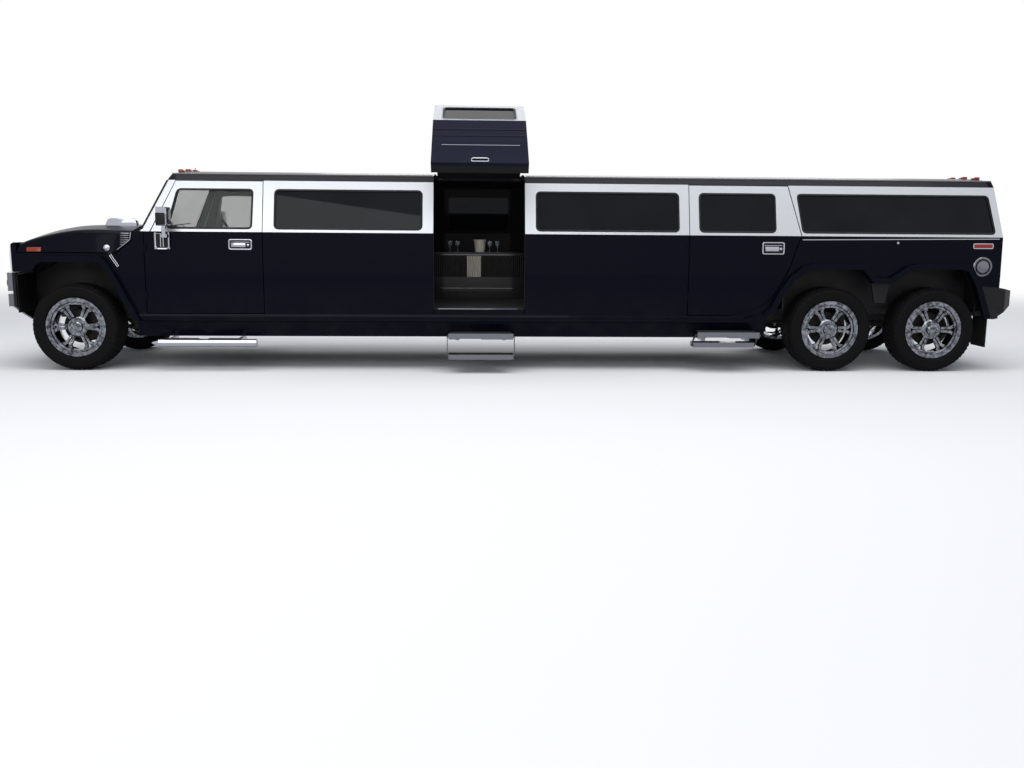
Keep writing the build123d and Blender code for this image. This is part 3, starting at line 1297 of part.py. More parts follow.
def crank_pair(low, high, angle):
    """Two bowed cranks outside the ends of the treads, with their pins."""
    foot_y, foot_z = crank_foot(angle)
    half, length, bow = CRANK_WIDTH / 2, CRANK_LENGTH, CRANK_BOW
    outline = [
        (-half, 0), (half, 0), (half + bow, -length / 2), (half, -length), (-half, -length),
        (-half + bow, -length / 2),
    ]
    parts = []
    for end, outward in ((low, -1), (high, 1)):
        near, far = sorted((end + outward * SEAM, end + outward * (SEAM + CRANK_THICKNESS)))
        crank = prism_x(outline, near, far)
        crank += rod_x(half, near, far, 0, 0) + rod_x(half, near, far, 0, -length)
        crank = Pos(0, CRANK_PIN_Y, CRANK_PIN_Z) * Rot(-angle, 0, 0) * crank
        pin = sorted((end + outward * RUNNING_GAP, end + outward * SEAM))
        crank += rod_x(CRANK_PIN_RADIUS, *pin, CRANK_PIN_Y, CRANK_PIN_Z)
        parts.append(crank + rod_x(CRANK_PIN_RADIUS, *pin, foot_y, foot_z))
    return parts


def lower_tread(low, high, angle):
    """Moving tread, level at every angle of the cranks."""
    foot_y, foot_z = crank_foot(angle)
    front = foot_y - 25
    half = LOWER_TREAD_HEIGHT / 2
    return block(low, high, front, front + TREAD_DEPTH - 30, foot_z - half, foot_z + half)


def folding_steps(nodes):
    """Cranks and lower tread of each folding step."""
    for name, low, high, rise, angle in STEPS:
        lift = Pos(0, 0, rise)
        nodes[f"{name}_cranks"] = [lift * crank for crank in crank_pair(low, high, angle)]
        nodes[f"{name}_tread"] = lift * lower_tread(low, high, angle)


# The whole

def doors(nodes):
    """Doors, their glass and the mirrors, on both sides."""
    for name, side in SIDES.items():
        nodes[f"front_door_{name}"] = [sided(front_door(), side), sided(door_mirror(), side)]
        nodes[f"front_door_glass_{name}"] = sided(corner_pane(FRONT_WINDOW), side)
        nodes[f"rear_door_{name}"] = sided(rear_door(), side)
        nodes[f"rear_door_glass_{name}"] = sided(side_pane(*REAR_WINDOW), side)


def build():
    """Every node of the vehicle, still in drawing coordinates."""
    nodes = {}
    wheels(nodes)
    nodes["knuckle_left"] = knuckle()
    nodes["knuckle_right"] = mirrored(knuckle())
    nodes["front_suspension"] = front_suspension()
    nodes["rear_axles"] = rear_axles()
    nodes["chassis_frame"] = chassis_frame()
    nodes["floor_pan"] = floor_pan()
    nodes["wheelhouses"] = wheelhouses()
    nodes["sills"] = sills()
    nodes["wheel_flares"] = flares()
    nodes["mudflaps"] = mudflaps()
    nodes["front_wings"] = front_wings()
    nodes["hood"] = [hood()] + hood_scoops()
    nodes["nose_grille"] = nose()
    nodes["cowl_frame"] = cowl_frame()
    nodes["roof_panel"] = roof_panel()
    nodes["rear_frame"] = rear_frame()
    nodes["tailgate"] = tailgate()
    nodes["tailgate_glass"] = tailgate_glass()
    nodes["jet_door"] = jet_door()
    nodes["jet_door_glass"] = jet_open(side_pane(*JET_WINDOW))
    nodes["quarter_panels"] = quarter_panels()
    nodes["side_panels_left"] = side_panels_left()
    nodes["side_panel_right"] = side_panel_right()
    nodes["fixed_glass"] = fixed_glass()
    doors(nodes)
    nodes["front_bumper"] = front_bumper()
    nodes["bumper_plates"] = bumper_plates()
    nodes["rear_bumper"] = rear_bumper()
    nodes["lamps"] = lamps()
    nodes["engine_block"] = engine_block()
    nodes["driveline"] = driveline()
    nodes["dashboard"] = dashboard()
    nodes["front_seats"] = front_seats()
    nodes["lounge_sofa"] = lounge_sofa()
    nodes["bar_cabinet"] = bar_cabinet()
    nodes["side_steps"] = side_steps()
    nodes["step_treads"] = step_treads()
    folding_steps(nodes)
    return nodes


def jet_foot_reach():
    """Distance of the open jet door's foot from the centre plane."""
    foot = FLOOR_TOP_Z + SEAM
    out, up = -half_width(foot) - JET_HINGE_Y, foot - JET_HINGE_Z
    turn = radians(JET_OPEN_ANGLE)
    return -(JET_HINGE_Y + out * cos(turn) + up * sin(turn))


# Middle of the whole vehicle, with the jet door open on one side and a mirror on the other
ORIGIN_X = (BUMPER_TIP_X + REAR_BUMPER_TIP_X) / 2
ORIGIN_Y = (MIRROR_HALF - jet_foot_reach()) / 2


def solids_of(shape):
    """Solids of a shape or of a list of shapes."""
    shapes = shape if isinstance(shape, (list, ShapeList)) else [shape]
    return [solid for item in shapes for solid in item.solids()]


def main():
    """Write every node, with the origin on the ground under the middle of the whole."""
    os.makedirs("parts", exist_ok=True)
    shift = Pos(-ORIGIN_X, -ORIGIN_Y, 0)
    for name, shape in build().items():
        solids = [shift * solid for solid in solids_of(shape)]
        export_step(Compound(children=solids), f"parts/{name}.step")


if __name__ == "__main__":
    main()
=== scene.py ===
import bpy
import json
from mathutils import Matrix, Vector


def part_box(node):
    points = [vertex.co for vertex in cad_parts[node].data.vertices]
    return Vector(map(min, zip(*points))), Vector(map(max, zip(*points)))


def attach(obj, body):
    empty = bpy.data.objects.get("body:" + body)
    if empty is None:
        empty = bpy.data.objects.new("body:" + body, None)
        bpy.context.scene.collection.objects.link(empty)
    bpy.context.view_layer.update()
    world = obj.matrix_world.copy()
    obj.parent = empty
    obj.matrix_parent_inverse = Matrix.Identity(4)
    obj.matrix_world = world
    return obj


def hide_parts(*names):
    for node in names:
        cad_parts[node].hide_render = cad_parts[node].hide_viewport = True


bl_info = {
    "name": "Stretch Limousine Finish",
    "version": (1, 0, 0),
    "blender": (4, 5, 0),
    "location": "3D View > Sidebar > Limousine",
    "description": "Dresses the packed limousine with its finishes, trim, lamps, seats and studio",
    "category": "Object",
}

import json
from math import cos, exp, pi, radians, sin

import bmesh
import bpy
from bpy.props import FloatProperty, FloatVectorProperty, PointerProperty
from bpy.types import Operator, Panel, PropertyGroup
from mathutils import Matrix, Vector
from mathutils.bvhtree import BVHTree

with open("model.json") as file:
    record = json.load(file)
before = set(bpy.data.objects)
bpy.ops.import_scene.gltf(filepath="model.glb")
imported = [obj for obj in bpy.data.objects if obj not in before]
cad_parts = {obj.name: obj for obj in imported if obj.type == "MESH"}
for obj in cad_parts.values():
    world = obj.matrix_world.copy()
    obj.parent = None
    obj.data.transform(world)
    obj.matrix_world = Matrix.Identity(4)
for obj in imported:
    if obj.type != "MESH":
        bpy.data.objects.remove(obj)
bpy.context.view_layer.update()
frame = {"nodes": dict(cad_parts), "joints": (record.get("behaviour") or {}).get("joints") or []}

# Pieces are drawn in millimetres from the front hubs, the centre plane and the ground:
# X runs to the rear, Y to the vehicle's right and Z up. This moves them into the frame.
LEFT_HUB = sum(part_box("rim_front_left"), Vector()) / 2
RIGHT_HUB = sum(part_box("rim_front_right"), Vector()) / 2
ORIGIN = Vector((LEFT_HUB.x, (LEFT_HUB.y + RIGHT_HUB.y) / 2, 0))
DRAWN = Matrix.Translation(ORIGIN) @ Matrix.Scale(0.001, 4)

JOINTS = {joint["name"]: joint for joint in frame["joints"]}
JET_HINGE = DRAWN.inverted() @ Vector(JOINTS["jet_door_hinge"]["pos_m"])
JET_ANGLE = radians(JOINTS["jet_door_hinge"]["range_deg"][1])
# The jet door's pieces are drawn with it shut, then opened about its hinge
JET_OPEN = (
    Matrix.Translation(JET_HINGE) @ Matrix.Rotation(-JET_ANGLE, 4, "X") @ Matrix.Translation(-JET_HINGE)
)

AXLES = {"front": 0.0, "mid": 7717.0, "rear": 8817.0}
SIDES = {"left": -1, "right": 1}
WHEEL_Y = 870.0
HUB_Z = 438.0
BELT_Z = 1400.0
BAND_TOP_Z = 1913.0
WINDOW_LOW, WINDOW_HIGH = 1437.0, 1821.0
WINDOW_CORNER = 38.0
SCREEN_REAR_X = 1500.0
TAIL_X = 9505.0
TAIL_TOP_X = 9434.0
JET_FRONT_X, JET_REAR_X = 3599.0, 4533.0
JET_WINDOW = (3708, 4424, WINDOW_LOW, WINDOW_HIGH, WINDOW_CORNER)
# Half width of the body's side at each height, and height of the roof at each half width
SIDE_LEVELS = ((346, 930), (575, 969), (1000, 975), (1400, 965), (1913, 830))
ROOF_LEVELS = ((0, 2034), (400, 2022), (780, 1978), (830, 1913))


def read_table(rows, station):
    """Value at a station on the straight lines between a table's rows."""
    for (low, first), (high, last) in zip(rows, rows[1:]):
        if station <= high:
            return first + (last - first) * (station - low) / (high - low)
    return rows[-1][1]


def half_width(z):
    """Half width of the body's side at a height."""
    return read_table(SIDE_LEVELS, z)


# Outlines

def rounded_outline(x_low, x_high, z_low, z_high, radius):
    """Corner points of a rounded rectangle."""
    points = []
    corners = (
        (x_high - radius, z_high - radius, 0), (x_low + radius, z_high - radius, 90),
        (x_low + radius, z_low + radius, 180), (x_high - radius, z_low + radius, 270),
    )
    for x, z, start in corners:
        for step in range(5):
            turn = radians(start + 90 * step / 4)
            points.append((x + radius * cos(turn), z + radius * sin(turn)))
    return points


def soft_corner(before, here, after, radius, steps):
    """Points of a corner rounded off between two others."""
    start = here + (before - here).normalized() * radius
    end = here + (after - here).normalized() * radius
    shares = [step / steps for step in range(steps + 1)]
    return [start * (1 - share) ** 2 + here * 2 * share * (1 - share) + end * share ** 2 for share in shares]


def soft_outline(points, radius):
    """Outline with every corner rounded off."""
    points = [Vector(point) for point in points]
    soft = []
    for before, here, after in zip(points[-1:] + points, points, points[1:] + points[:1]):
        soft += [tuple(point) for point in soft_corner(before, here, after, radius, 4)]
    return soft


def offset_outline(points, distance):
    """Outline moved outwards by a distance, its corners kept."""
    points = [Vector(point) for point in points]
    after_each = points[1:] + points[:1]
    area = sum(here.x * after.y - after.x * here.y for here, after in zip(points, after_each))
    sign = 1 if area > 0 else -1
    moved = []
    for before, here, after in zip(points[-1:] + points, points, after_each):
        normals = [Vector((way.y, -way.x)) * sign
                   for way in ((here - before).normalized(), (after - here).normalized())]
        middle = (normals[0] + normals[1]).normalized()
        moved.append(tuple(here + middle * distance / max(0.4, middle.dot(normals[0]))))
    return moved


def ring_points(centre, out, radius, count, shift=0.5):
    """Points evenly spread on a circle about an axis across the vehicle."""
    for index in range(count):
        turn = 2 * pi * (index + shift) / count
        yield centre + Vector((radius * cos(turn), 0, radius * sin(turn))) + out


# Skins that trim is laid on, and stations clear of the body that lines towards them start from

SKINS = {}
FAR_SIDE_Y, FAR_AHEAD_X, FAR_BEHIND_X, FAR_ABOVE_Z = 1500, -1500, 12000, 3000


def keep_skin(node, obj):
    """Keeps an object's surface as the skin that a node's trim is laid on."""
    bm = bmesh.new()
    bm.from_mesh(obj.data)
    SKINS[node] = BVHTree.FromBMesh(bm)
    bm.free()


def meet(node, start, way):
    """Where a line from a point first meets a node's skin, in drawn millimetres."""
    if node not in SKINS:
        keep_skin(node, frame["nodes"][node])
    place = SKINS[node].ray_cast(DRAWN @ Vector(start), Vector(way))[0]
    if place is None:
        raise RuntimeError(f"a line from {tuple(start)} misses {node}")
    return DRAWN.inverted() @ place


# Every finish by its name

LOOKS = {}


class Piece:
    """A mesh drawn in millimetres that ends as an object on its body."""

    def __init__(self):
        self.bm = bmesh.new()

    def cube(self, place):
        """Unit cube put in place."""
        bmesh.ops.create_cube(self.bm, size=1, matrix=place)
        return self

    def block(self, low, high):
        """Block between two corners."""
        low, high = Vector(low), Vector(high)
        return self.cube(Matrix.Translation((low + high) / 2) @ Matrix.Diagonal((*(high - low), 1)))

    def rod(self, start, end, radius, end_radius=None, segments=16):
        """Round bar or cone between two points."""
        start, end = Vector(start), Vector(end)
        run = end - start
        place = Matrix.Translation((start + end) / 2) @ run.to_track_quat("Z", "Y").to_matrix().to_4x4()
        bmesh.ops.create_cone(
            self.bm, cap_ends=True, segments=segments, radius1=radius,
            radius2=radius if end_radius is None else end_radius, depth=run.length, matrix=place,
        )
        return self

    def ball(self, centre, radii):
        """Ellipsoid at a point."""
        place = Matrix.Translation(centre) @ Matrix.Diagonal((*radii, 1))
        bmesh.ops.create_uvsphere(self.bm, u_segments=16, v_segments=8, radius=1, matrix=place)
        return self

    def grow(self, faces, push):
        """Faces pushed out into a solid."""
        grown = bmesh.ops.extrude_face_region(self.bm, geom=faces)["geom"]
        verts = [item for item in grown if isinstance(item, bmesh.types.BMVert)]
        bmesh.ops.translate(self.bm, verts=verts, vec=push)
        return self

    def prism(self, outline, low, high, upright=False):
        """Solid from an outline of X and Z between two Y, or upright from one of X and Y between two Z."""
        points = [(a, b, low) if upright else (a, low, b) for a, b in outline]
        face = self.bm.faces.new([self.bm.verts.new(point) for point in points])
        return self.grow([face], (0, 0, high - low) if upright else (0, high - low, 0))

    def ring(self, inner, outer, low, high):
        """Flat frame between two outlines of X and Z, from one Y to another."""
        loops = []
        for outline in (inner, outer):
            verts = [self.bm.verts.new((x, low, z)) for x, z in outline]
            loops += [self.bm.edges.new(pair) for pair in zip(verts, verts[1:] + verts[:1])]
        self.grow(bmesh.ops.bridge_loops(self.bm, edges=loops)["faces"], (0, high - low, 0))
        bmesh.ops.recalc_face_normals(self.bm, faces=self.bm.faces)
        return self

    def lathe(self, profile, centre, axis, steps=64):
        """Turned form from a closed profile of radius and station along an axis through a centre."""
        bm, axis, centre = self.bm, Vector(axis).normalized(), Vector(centre)
        side = axis.orthogonal().normalized()
        verts = [bm.verts.new(centre + side * radius + axis * station) for radius, station in profile]
        edges = [bm.edges.new(pair) for pair in zip(verts, verts[1:] + verts[:1])]
        bmesh.ops.spin(
            bm, geom=verts + edges, cent=centre, axis=axis, angle=2 * pi, steps=steps, use_merge=True
        )
        bmesh.ops.remove_doubles(bm, verts=bm.verts, dist=0.001)
        bmesh.ops.recalc_face_normals(bm, faces=bm.faces)
        return self

    def tube(self, points, radius, closed=False):
        """Round bar along a path of points."""
        curve = bpy.data.curves.new("path", "CURVE")
        curve.dimensions = "3D"
        curve.bevel_depth = radius
        curve.bevel_resolution = 2
        curve.use_fill_caps = True
        spline = curve.splines.new("POLY")
        spline.points.add(len(points) - 1)
        for point, place in zip(spline.points, points):
            point.co = (*place, 1)
        spline.use_cyclic_u = closed
        holder = bpy.data.objects.new("path", curve)
        mesh = bpy.data.meshes.new_from_object(holder)
        self.bm.from_mesh(mesh)
        bpy.data.meshes.remove(mesh)
        bpy.data.objects.remove(holder)
        bpy.data.curves.remove(curve)
        return self

    def rounded(self, width, segments=2):
        """Bevel on every edge that turns by more than 30 degrees."""
        self.bm.normal_update()
        edges = [e for e in self.bm.edges if len(e.link_faces) == 2 and e.calc_face_angle(0) > radians(30)]
        bmesh.ops.bevel(
            self.bm, geom=edges, offset=width, segments=segments, affect="EDGES", profile=0.5, material=-1,
            clamp_overlap=True,
        )
        return self

    def laid(self, side, node=None):
        """Flat work, drawn with Y as its height over the skin, bent onto the body's or a node's side."""
        for vert in self.bm.verts:
            x, height, z = vert.co
            if node is None:
                vert.co.y = side * (half_width(z) + height)
            else:
                vert.co.y = meet(node, (x, side * FAR_SIDE_Y, z), (0, -side, 0)).y + side * height
        return self

    def done(self, name, look, body="root", replaces=(), smooth=40, place=None):
        """Object from the finished mesh, in its finish and in place on its body."""
        bm = self.bm
        if place is not None:
            bm.transform(place)
        bm.transform(DRAWN)
        bmesh.ops.recalc_face_normals(bm, faces=bm.faces)
        bm.normal_update()
        for face in bm.faces:
            face.smooth = True
        for edge in bm.edges:
            edge.smooth = len(edge.link_faces) == 2 and edge.calc_face_angle(0) < radians(smooth)
        mesh = bpy.data.meshes.new(name)
        bm.to_mesh(mesh)
        bm.free()
        mesh.materials.append(LOOKS[look])
        piece = bpy.data.objects.new(name, mesh)
        bpy.context.scene.collection.objects.link(piece)
        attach(piece, body)
        if replaces:
            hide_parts(*replaces)
        return piece


# Materials

def add_node(tree, kind, inputs=(), **settings):
    """Node of a tree with its settings, and its inputs linked or set."""
    made = tree.nodes.new("ShaderNode" + kind)
    for key, value in settings.items():
        setattr(made, key, value)
    for key, value in dict(inputs).items():
        if isinstance(value, bpy.types.NodeSocket):
            tree.links.new(value, made.inputs[key])
        else:
            made.inputs[key].default_value = value
    return made


def looking_ray(tree):
    """One for a ray from the camera, a gloss or clear glass, and nothing for light itself."""
    rays = add_node(tree, "LightPath").outputs
    seen = rays["Is Camera Ray"]
    for name in ("Is Glossy Ray", "Is Transmission Ray"):
        seen = add_node(tree, "Math", {0: seen, 1: rays[name]}, operation="MAXIMUM").outputs[0]
    return seen


class Finish:
    """A Principled material with short calls for its pattern nodes."""

    def __init__(self, name, color, **values):
        self.material = bpy.data.materials.new(name)
        self.material.use_nodes = True
        self.tree = self.material.node_tree
        self.shader = self.tree.nodes["Principled BSDF"]
        self.shader.inputs["Base Color"].default_value = (*color, 1)
        self.material.diffuse_color = (*color, 1)
        for key, value in values.items():
            self.shader.inputs[key.replace("_", " ")].default_value = value
        self.coordinates = self.tree.nodes.new("ShaderNodeTexCoord").outputs["Object"]

    def node(self, kind, inputs=(), **settings):
        """Node of this material."""
        return add_node(self.tree, kind, inputs, **settings)

    def mapped(self, scale=(1, 1, 1), location=(0, 0, 0), rotation=(0, 0, 0)):
        """Object coordinates, scaled, moved and turned."""
        inputs = {"Vector": self.coordinates, "Scale": scale, "Location": location, "Rotation": rotation}
        return self.node("Mapping", inputs).outputs["Vector"]

    def noise(self, scale, detail=3.0, vector=None, roughness=0.5):
        """Noise value."""
        inputs = {"Vector": vector or self.coordinates, "Scale": scale, "Detail": detail,
                  "Roughness": roughness}
        return self.node("TexNoise", inputs).outputs["Fac"]

    def voronoi(self, scale):
        """Cell pattern value."""
        return self.node("TexVoronoi", {"Vector": self.coordinates, "Scale": scale}).outputs["Distance"]

    def span(self, value, low, high, to_low=0.0, to_high=1.0):
        """Value mapped from one range to another and held within it."""
        inputs = {"Value": value, "From Min": low, "From Max": high, "To Min": to_low, "To Max": to_high}
        return self.node("MapRange", inputs, clamp=True).outputs["Result"]

    def invert(self, value):
        """One where a mask is nothing, and nothing where it is one."""
        return self.span(value, 0.0, 1.0, 1.0, 0.0)

    def math(self, operation, first, second=0.0):
        """Sum, product or comparison of two values."""
        return self.node("Math", {0: first, 1: second}, operation=operation).outputs[0]

    def times(self, first, second):
        """Product of two values."""
        return self.math("MULTIPLY", first, second)

    def axis_value(self, axis, vector=None):
        """One coordinate of a vector."""
        return self.node("SeparateXYZ", {"Vector": vector or self.coordinates}).outputs[axis]

    def blend(self, factor, first, second):
        """Colour between two colours."""
        first, second = (value if isinstance(value, bpy.types.NodeSocket) else (*value, 1)
                         for value in (first, second))
        return self.node("Mix", {0: factor, 6: first, 7: second}, data_type="RGBA").outputs[2]

    def feed(self, name, socket):
        """Value of an input of the surface."""
        self.tree.links.new(socket, self.shader.inputs[name])

    def color(self, socket):
        """Colour of the surface."""
        self.feed("Base Color", socket)

    def bump(self, height, strength=0.3, distance=0.001):
        """Relief from a height, over any relief there already."""
        inputs = {"Height": height, "Strength": strength, "Distance": distance}
        before = self.shader.inputs["Normal"].links
        if before:
            inputs["Normal"] = before[0].from_socket
        self.feed("Normal", self.node("Bump", inputs).outputs["Normal"])


def tinted(color, share):
    """Colour at a share of its strength."""
    return [c * share for c in color]


ROOF_COLOR = (0.022, 0.021, 0.026)
TRIM_COLOR = (0.012, 0.0115, 0.011)


def roof_skin(made, sideways):
    """Height of the roof's skin in metres, as a node value, from the distance to the centre plane."""
    total = ROOF_LEVELS[-1][1] / 1000
    for (into, high_z), (out, low_z) in zip(ROOF_LEVELS, ROOF_LEVELS[1:]):
        rise = made.span(sideways, into / 1000, out / 1000, (high_z - low_z) / 1000, 0.0)
        total = made.math("ADD", rise, total)
    return total


def paint_finish(name, settings, two_tone=False, shut_jet=False, chrome_beyond=None,
                 chrome_ahead=None, inside=None, color=None):
    """Clear-coated body paint with orange peel and road dust low down, and trim colour inside."""
    black = tuple(color or settings.paint_color)
    made = Finish(name, black, Roughness=0.3, Specular_IOR_Level=0.03, Coat_Weight=0.1,
                  Coat_Roughness=0.03, Coat_IOR=1.4)
    place = made.coordinates
    if shut_jet:
        # Turns the open door's coordinates back to where it is shut
        hinge = DRAWN @ JET_HINGE
        turn = Matrix.Rotation(JET_ANGLE, 4, "X")
        place = made.mapped(location=hinge - turn @ hinge, rotation=(JET_ANGLE, 0, 0))
    drawn = made.node("VectorMath", {0: place, 1: ORIGIN}, operation="SUBTRACT").outputs[0]
    height = made.axis_value("Z", place)
    sideways = made.math("ABSOLUTE", made.axis_value("Y", drawn))
    belt, band_top = BELT_Z / 1000, BAND_TOP_Z / 1000
    speckle = made.noise(900.0, 2.0, place)
    shade = made.blend(made.span(speckle, 0.35, 0.65), tinted(black, 0.8), tinted(black, 1.25))
    metal = 0.0
    if two_tone:
        silver = tuple(settings.band_color)
        flakes = made.noise(2400.0, 1.0, place)
        bright = made.blend(made.span(flakes, 0.3, 0.7), tinted(silver, 0.9), silver)
        above = made.span(height, belt - 0.0005, belt + 0.0005)
        band = made.times(above, made.span(height, band_top - 0.001, band_top + 0.001, 1.0, 0.0))
        shade = made.blend(band, shade, bright)
        metal = made.span(band, 0.0, 1.0, 0.0, 0.55)
    dust = made.noise(5.0, 6.0, place, 0.6)
    film = made.times(made.span(dust, 0.4, 0.75), made.span(height, 0.45, 0.85, 1.0, 0.0))
    shade = made.blend(made.times(film, 0.018), shade, tuple(settings.dust_color))
    rough = made.span(film, 0.0, 1.0, 0.28, 0.55)
    plated = None
    if chrome_beyond is not None:
        plated = made.span(sideways, chrome_beyond, chrome_beyond + 0.001)
    if chrome_ahead is not None:
        plated = made.span(made.axis_value("X", drawn), chrome_ahead, chrome_ahead + 0.001, 1.0, 0.0)
    if plated is not None:
        shade = made.blend(plated, shade, tuple(settings.chrome_color))
        metal = made.math("MAXIMUM", plated, metal)
        rough = made.times(rough, made.span(plated, 0.0, 1.0, 1.0, 0.25))
    if inside is not None:
        # Moulded trim on what faces the cabin, from 30 mm below the skin
        if inside == "tail":
            skin = made.span(height, belt, band_top, TAIL_X / 1000, TAIL_TOP_X / 1000)
            depth = made.math("SUBTRACT", skin, made.axis_value("X", drawn))
        else:
            skin = made.span(height, belt, band_top, half_width(BELT_Z) / 1000, half_width(BAND_TOP_Z) / 1000)
            depth = made.math("SUBTRACT", skin, sideways)
        within = made.span(depth, 0.030, 0.032)
        if shut_jet:
            # The door's share of the roof has the roof's paint on top and trim below
            below = made.math("SUBTRACT", roof_skin(made, sideways), height)
            lid = made.times(made.span(height, band_top + 0.0005, band_top + 0.0015),
                             made.span(below, 0.018, 0.020, 1.0, 0.0))
            shade = made.blend(lid, shade, ROOF_COLOR)
            within = made.times(within, made.invert(lid))
        if inside == "tail":
            within = made.times(within, made.span(height, band_top - 0.0005, band_top + 0.0005, 1.0, 0.0))
        shade = made.blend(within, shade, TRIM_COLOR)
        metal = made.times(metal, made.invert(within))
        rough = made.math("MAXIMUM", rough, made.span(within, 0.0, 1.0, 0.0, 0.7))
    if not isinstance(metal, float):
        made.feed("Metallic", metal)
    made.feed("Roughness", rough)
    made.color(shade)
    made.bump(made.noise(260.0, 2.0, place), 0.03, 0.0004)
    return made.material


def chrome_finish(name, settings, brushed=False, strength=1.0):
    """Bright plating with faint smears and specks, and painted reflections where it is dimmed and not brushed.
    """
    color = plated = tinted(settings.chrome_color, strength)
    made = Finish(name, color, Metallic=1.0)
    smears = made.noise(14.0, 5.0, roughness=0.6)
    made.feed("Roughness", made.span(smears, 0.35, 0.8, 0.04, 0.24 if brushed else 0.16))
    if strength < 1 and not brushed:
        # Painted reflections: dull and bright patches painted into the plating's colour over the spokes
        reflection_patches = made.span(made.noise(26.0, 4.0, roughness=0.65), 0.38, 0.62)
        made.bump(made.noise(34.0, 2.0), 0.35, 0.004)
        plated = made.blend(reflection_patches, tinted(color, 0.28), tinted(color, 1.5))
    specks = made.span(made.noise(120.0, 3.0), 0.62, 0.75)
    made.color(made.blend(made.times(specks, 0.25), plated, tuple(settings.dust_color)))
    made.bump(made.noise(60.0, 2.0), 0.03, 0.0005)
    return made.material


def plastic_finish(name, color, rough=0.5, grain=700.0, dusty=0.3):
    """Moulded plastic with a fine grain and dust low down."""
    made = Finish(name, color, Specular_IOR_Level=0.2)
    patches = made.noise(7.0, 5.0)
    low = made.span(made.axis_value("Z"), 0.3, 1.1, dusty, dusty / 4)
    made.color(made.blend(made.times(made.span(patches, 0.35, 0.75), low), color, (0.28, 0.26, 0.23)))
    made.feed("Roughness", made.span(patches, 0.3, 0.7, rough - 0.08, rough + 0.12))
    made.bump(made.voronoi(grain), 0.25, 0.0006)
    return made.material


def metal_finish(name, color, rough=0.45, dusty=0.35):
    """Painted steel with chips, dust and a slight texture."""
    made = Finish(name, color)
    dust = made.noise(9.0, 6.0, roughness=0.65)
    chips = made.span(made.noise(85.0, 4.0), 0.68, 0.72)
    coat = made.blend(made.times(made.span(dust, 0.4, 0.8), dusty), color, (0.2, 0.18, 0.155))
    made.color(made.blend(made.times(chips, 0.5), coat, (0.11, 0.06, 0.035)))
    made.feed("Roughness", made.span(dust, 0.3, 0.7, rough - 0.1, rough + 0.3))
    made.bump(made.noise(180.0, 3.0), 0.15, 0.0008)
    return made.material


def patchy_finish(name, color, other, pattern, spread, rough=None, bumps=(), **values):
    """Finish that turns to another colour and gloss by a pattern, with relief from it or from finer ones."""
    made = Finish(name, color, **values)
    drawn = pattern(made)
    made.color(made.blend(made.span(drawn, *spread), color, other))
    if rough is not None:
        made.feed("Roughness", made.span(drawn, *rough))
    for height, strength, distance in bumps:
        made.bump(height(made) if height else drawn, strength, distance)
    return made.material


def rubber_finish(name, color):
    """Tyre rubber, greyer where the road has worn it."""
    return patchy_finish(
        name, color, (0.018, 0.017, 0.016), lambda made: made.noise(16.0, 6.0, roughness=0.6),
        (0.35, 0.8, 0.0, 0.15), (0.3, 0.7, 0.5, 0.8), [(lambda made: made.noise(320.0, 4.0), 0.2, 0.0007)],
        Specular_IOR_Level=0.06)


def dark_glass_finish(name, tint):
    """Dark and private window glass."""
    return patchy_finish(
        name, tint, [c * 2.2 + 0.001 for c in tint], lambda made: made.noise(1.6, 2.0), (0.3, 0.7),
        bumps=[(lambda made: made.noise(3.0, 1.0), 0.02, 0.002)],
        Roughness=0.02, Specular_IOR_Level=0.08, Coat_Weight=0.13, Coat_Roughness=0.01)


def glass_finish(name, tint):
    """Clear glass with a faint haze."""
    made = Finish(name, tint, Alpha=0.26, IOR=1.45)
    made.feed("Roughness", made.span(made.noise(5.0, 4.0), 0.4, 0.8, 0.0, 0.08))
    made.bump(made.noise(2.5, 1.0), 0.02, 0.002)
    made.material.surface_render_method = "DITHERED"
    return made.material


def lens_finish(name, color, clear=0.0):
    """Moulded lamp lens with fine prisms."""
    made = Finish(name, color, Roughness=0.15, Specular_IOR_Level=0.25, Coat_Weight=0.3,
                  Coat_Roughness=0.02, Transmission_Weight=clear)
    prisms = made.voronoi(160.0)
    made.color(made.blend(made.span(prisms, 0.1, 0.6), tinted(color, 0.7), color))
    made.bump(prisms, 0.35, 0.001)
    return made.material


def leather_finish(name, color):
    """Black leather with its grain and soft creases."""
    return patchy_finish(
        name, color, tinted(color, 1.9), lambda made: made.noise(20.0, 6.0, roughness=0.6),
        (0.35, 0.75), (0.3, 0.7, 0.36, 0.6),
        [(lambda made: made.voronoi(420.0), 0.35, 0.0007), (None, 0.25, 0.004)])


def carpet_finish(name, color):
    """Looped pile carpet."""
    made = Finish(name, color, Roughness=0.95)
    pile = made.noise(900.0, 2.0)
    mixed = made.math("ADD", made.times(pile, 0.7), made.times(made.noise(11.0, 4.0), 0.4))
    made.color(made.blend(made.span(mixed, 0.3, 0.8), tinted(color, 0.6), tinted(color, 1.6)))
    made.bump(pile, 0.8, 0.003)
    return made.material


def lacquer_finish(name, color):
    """Glossy dark lacquer over a faint wood figure."""
    return patchy_finish(
        name, color, tinted(color, 2.4),
        lambda made: made.noise(6.0, 8.0, made.mapped(scale=(0.5, 3.0, 9.0)), 0.65), (0.3, 0.7),
        bumps=[(None, 0.05, 0.0006)], Roughness=0.3, Specular_IOR_Level=0.2, Coat_Weight=0.25,
        Coat_Roughness=0.05)


def cast_finish(name, color):
    """Rough cast metal with oil and dust."""
    return patchy_finish(
        name, color, (0.05, 0.042, 0.035), lambda made: made.noise(12.0, 7.0), (0.35, 0.7),
        bumps=[(lambda made: made.noise(210.0, 5.0), 0.6, 0.0015)], Roughness=0.7, Metallic=0.6)


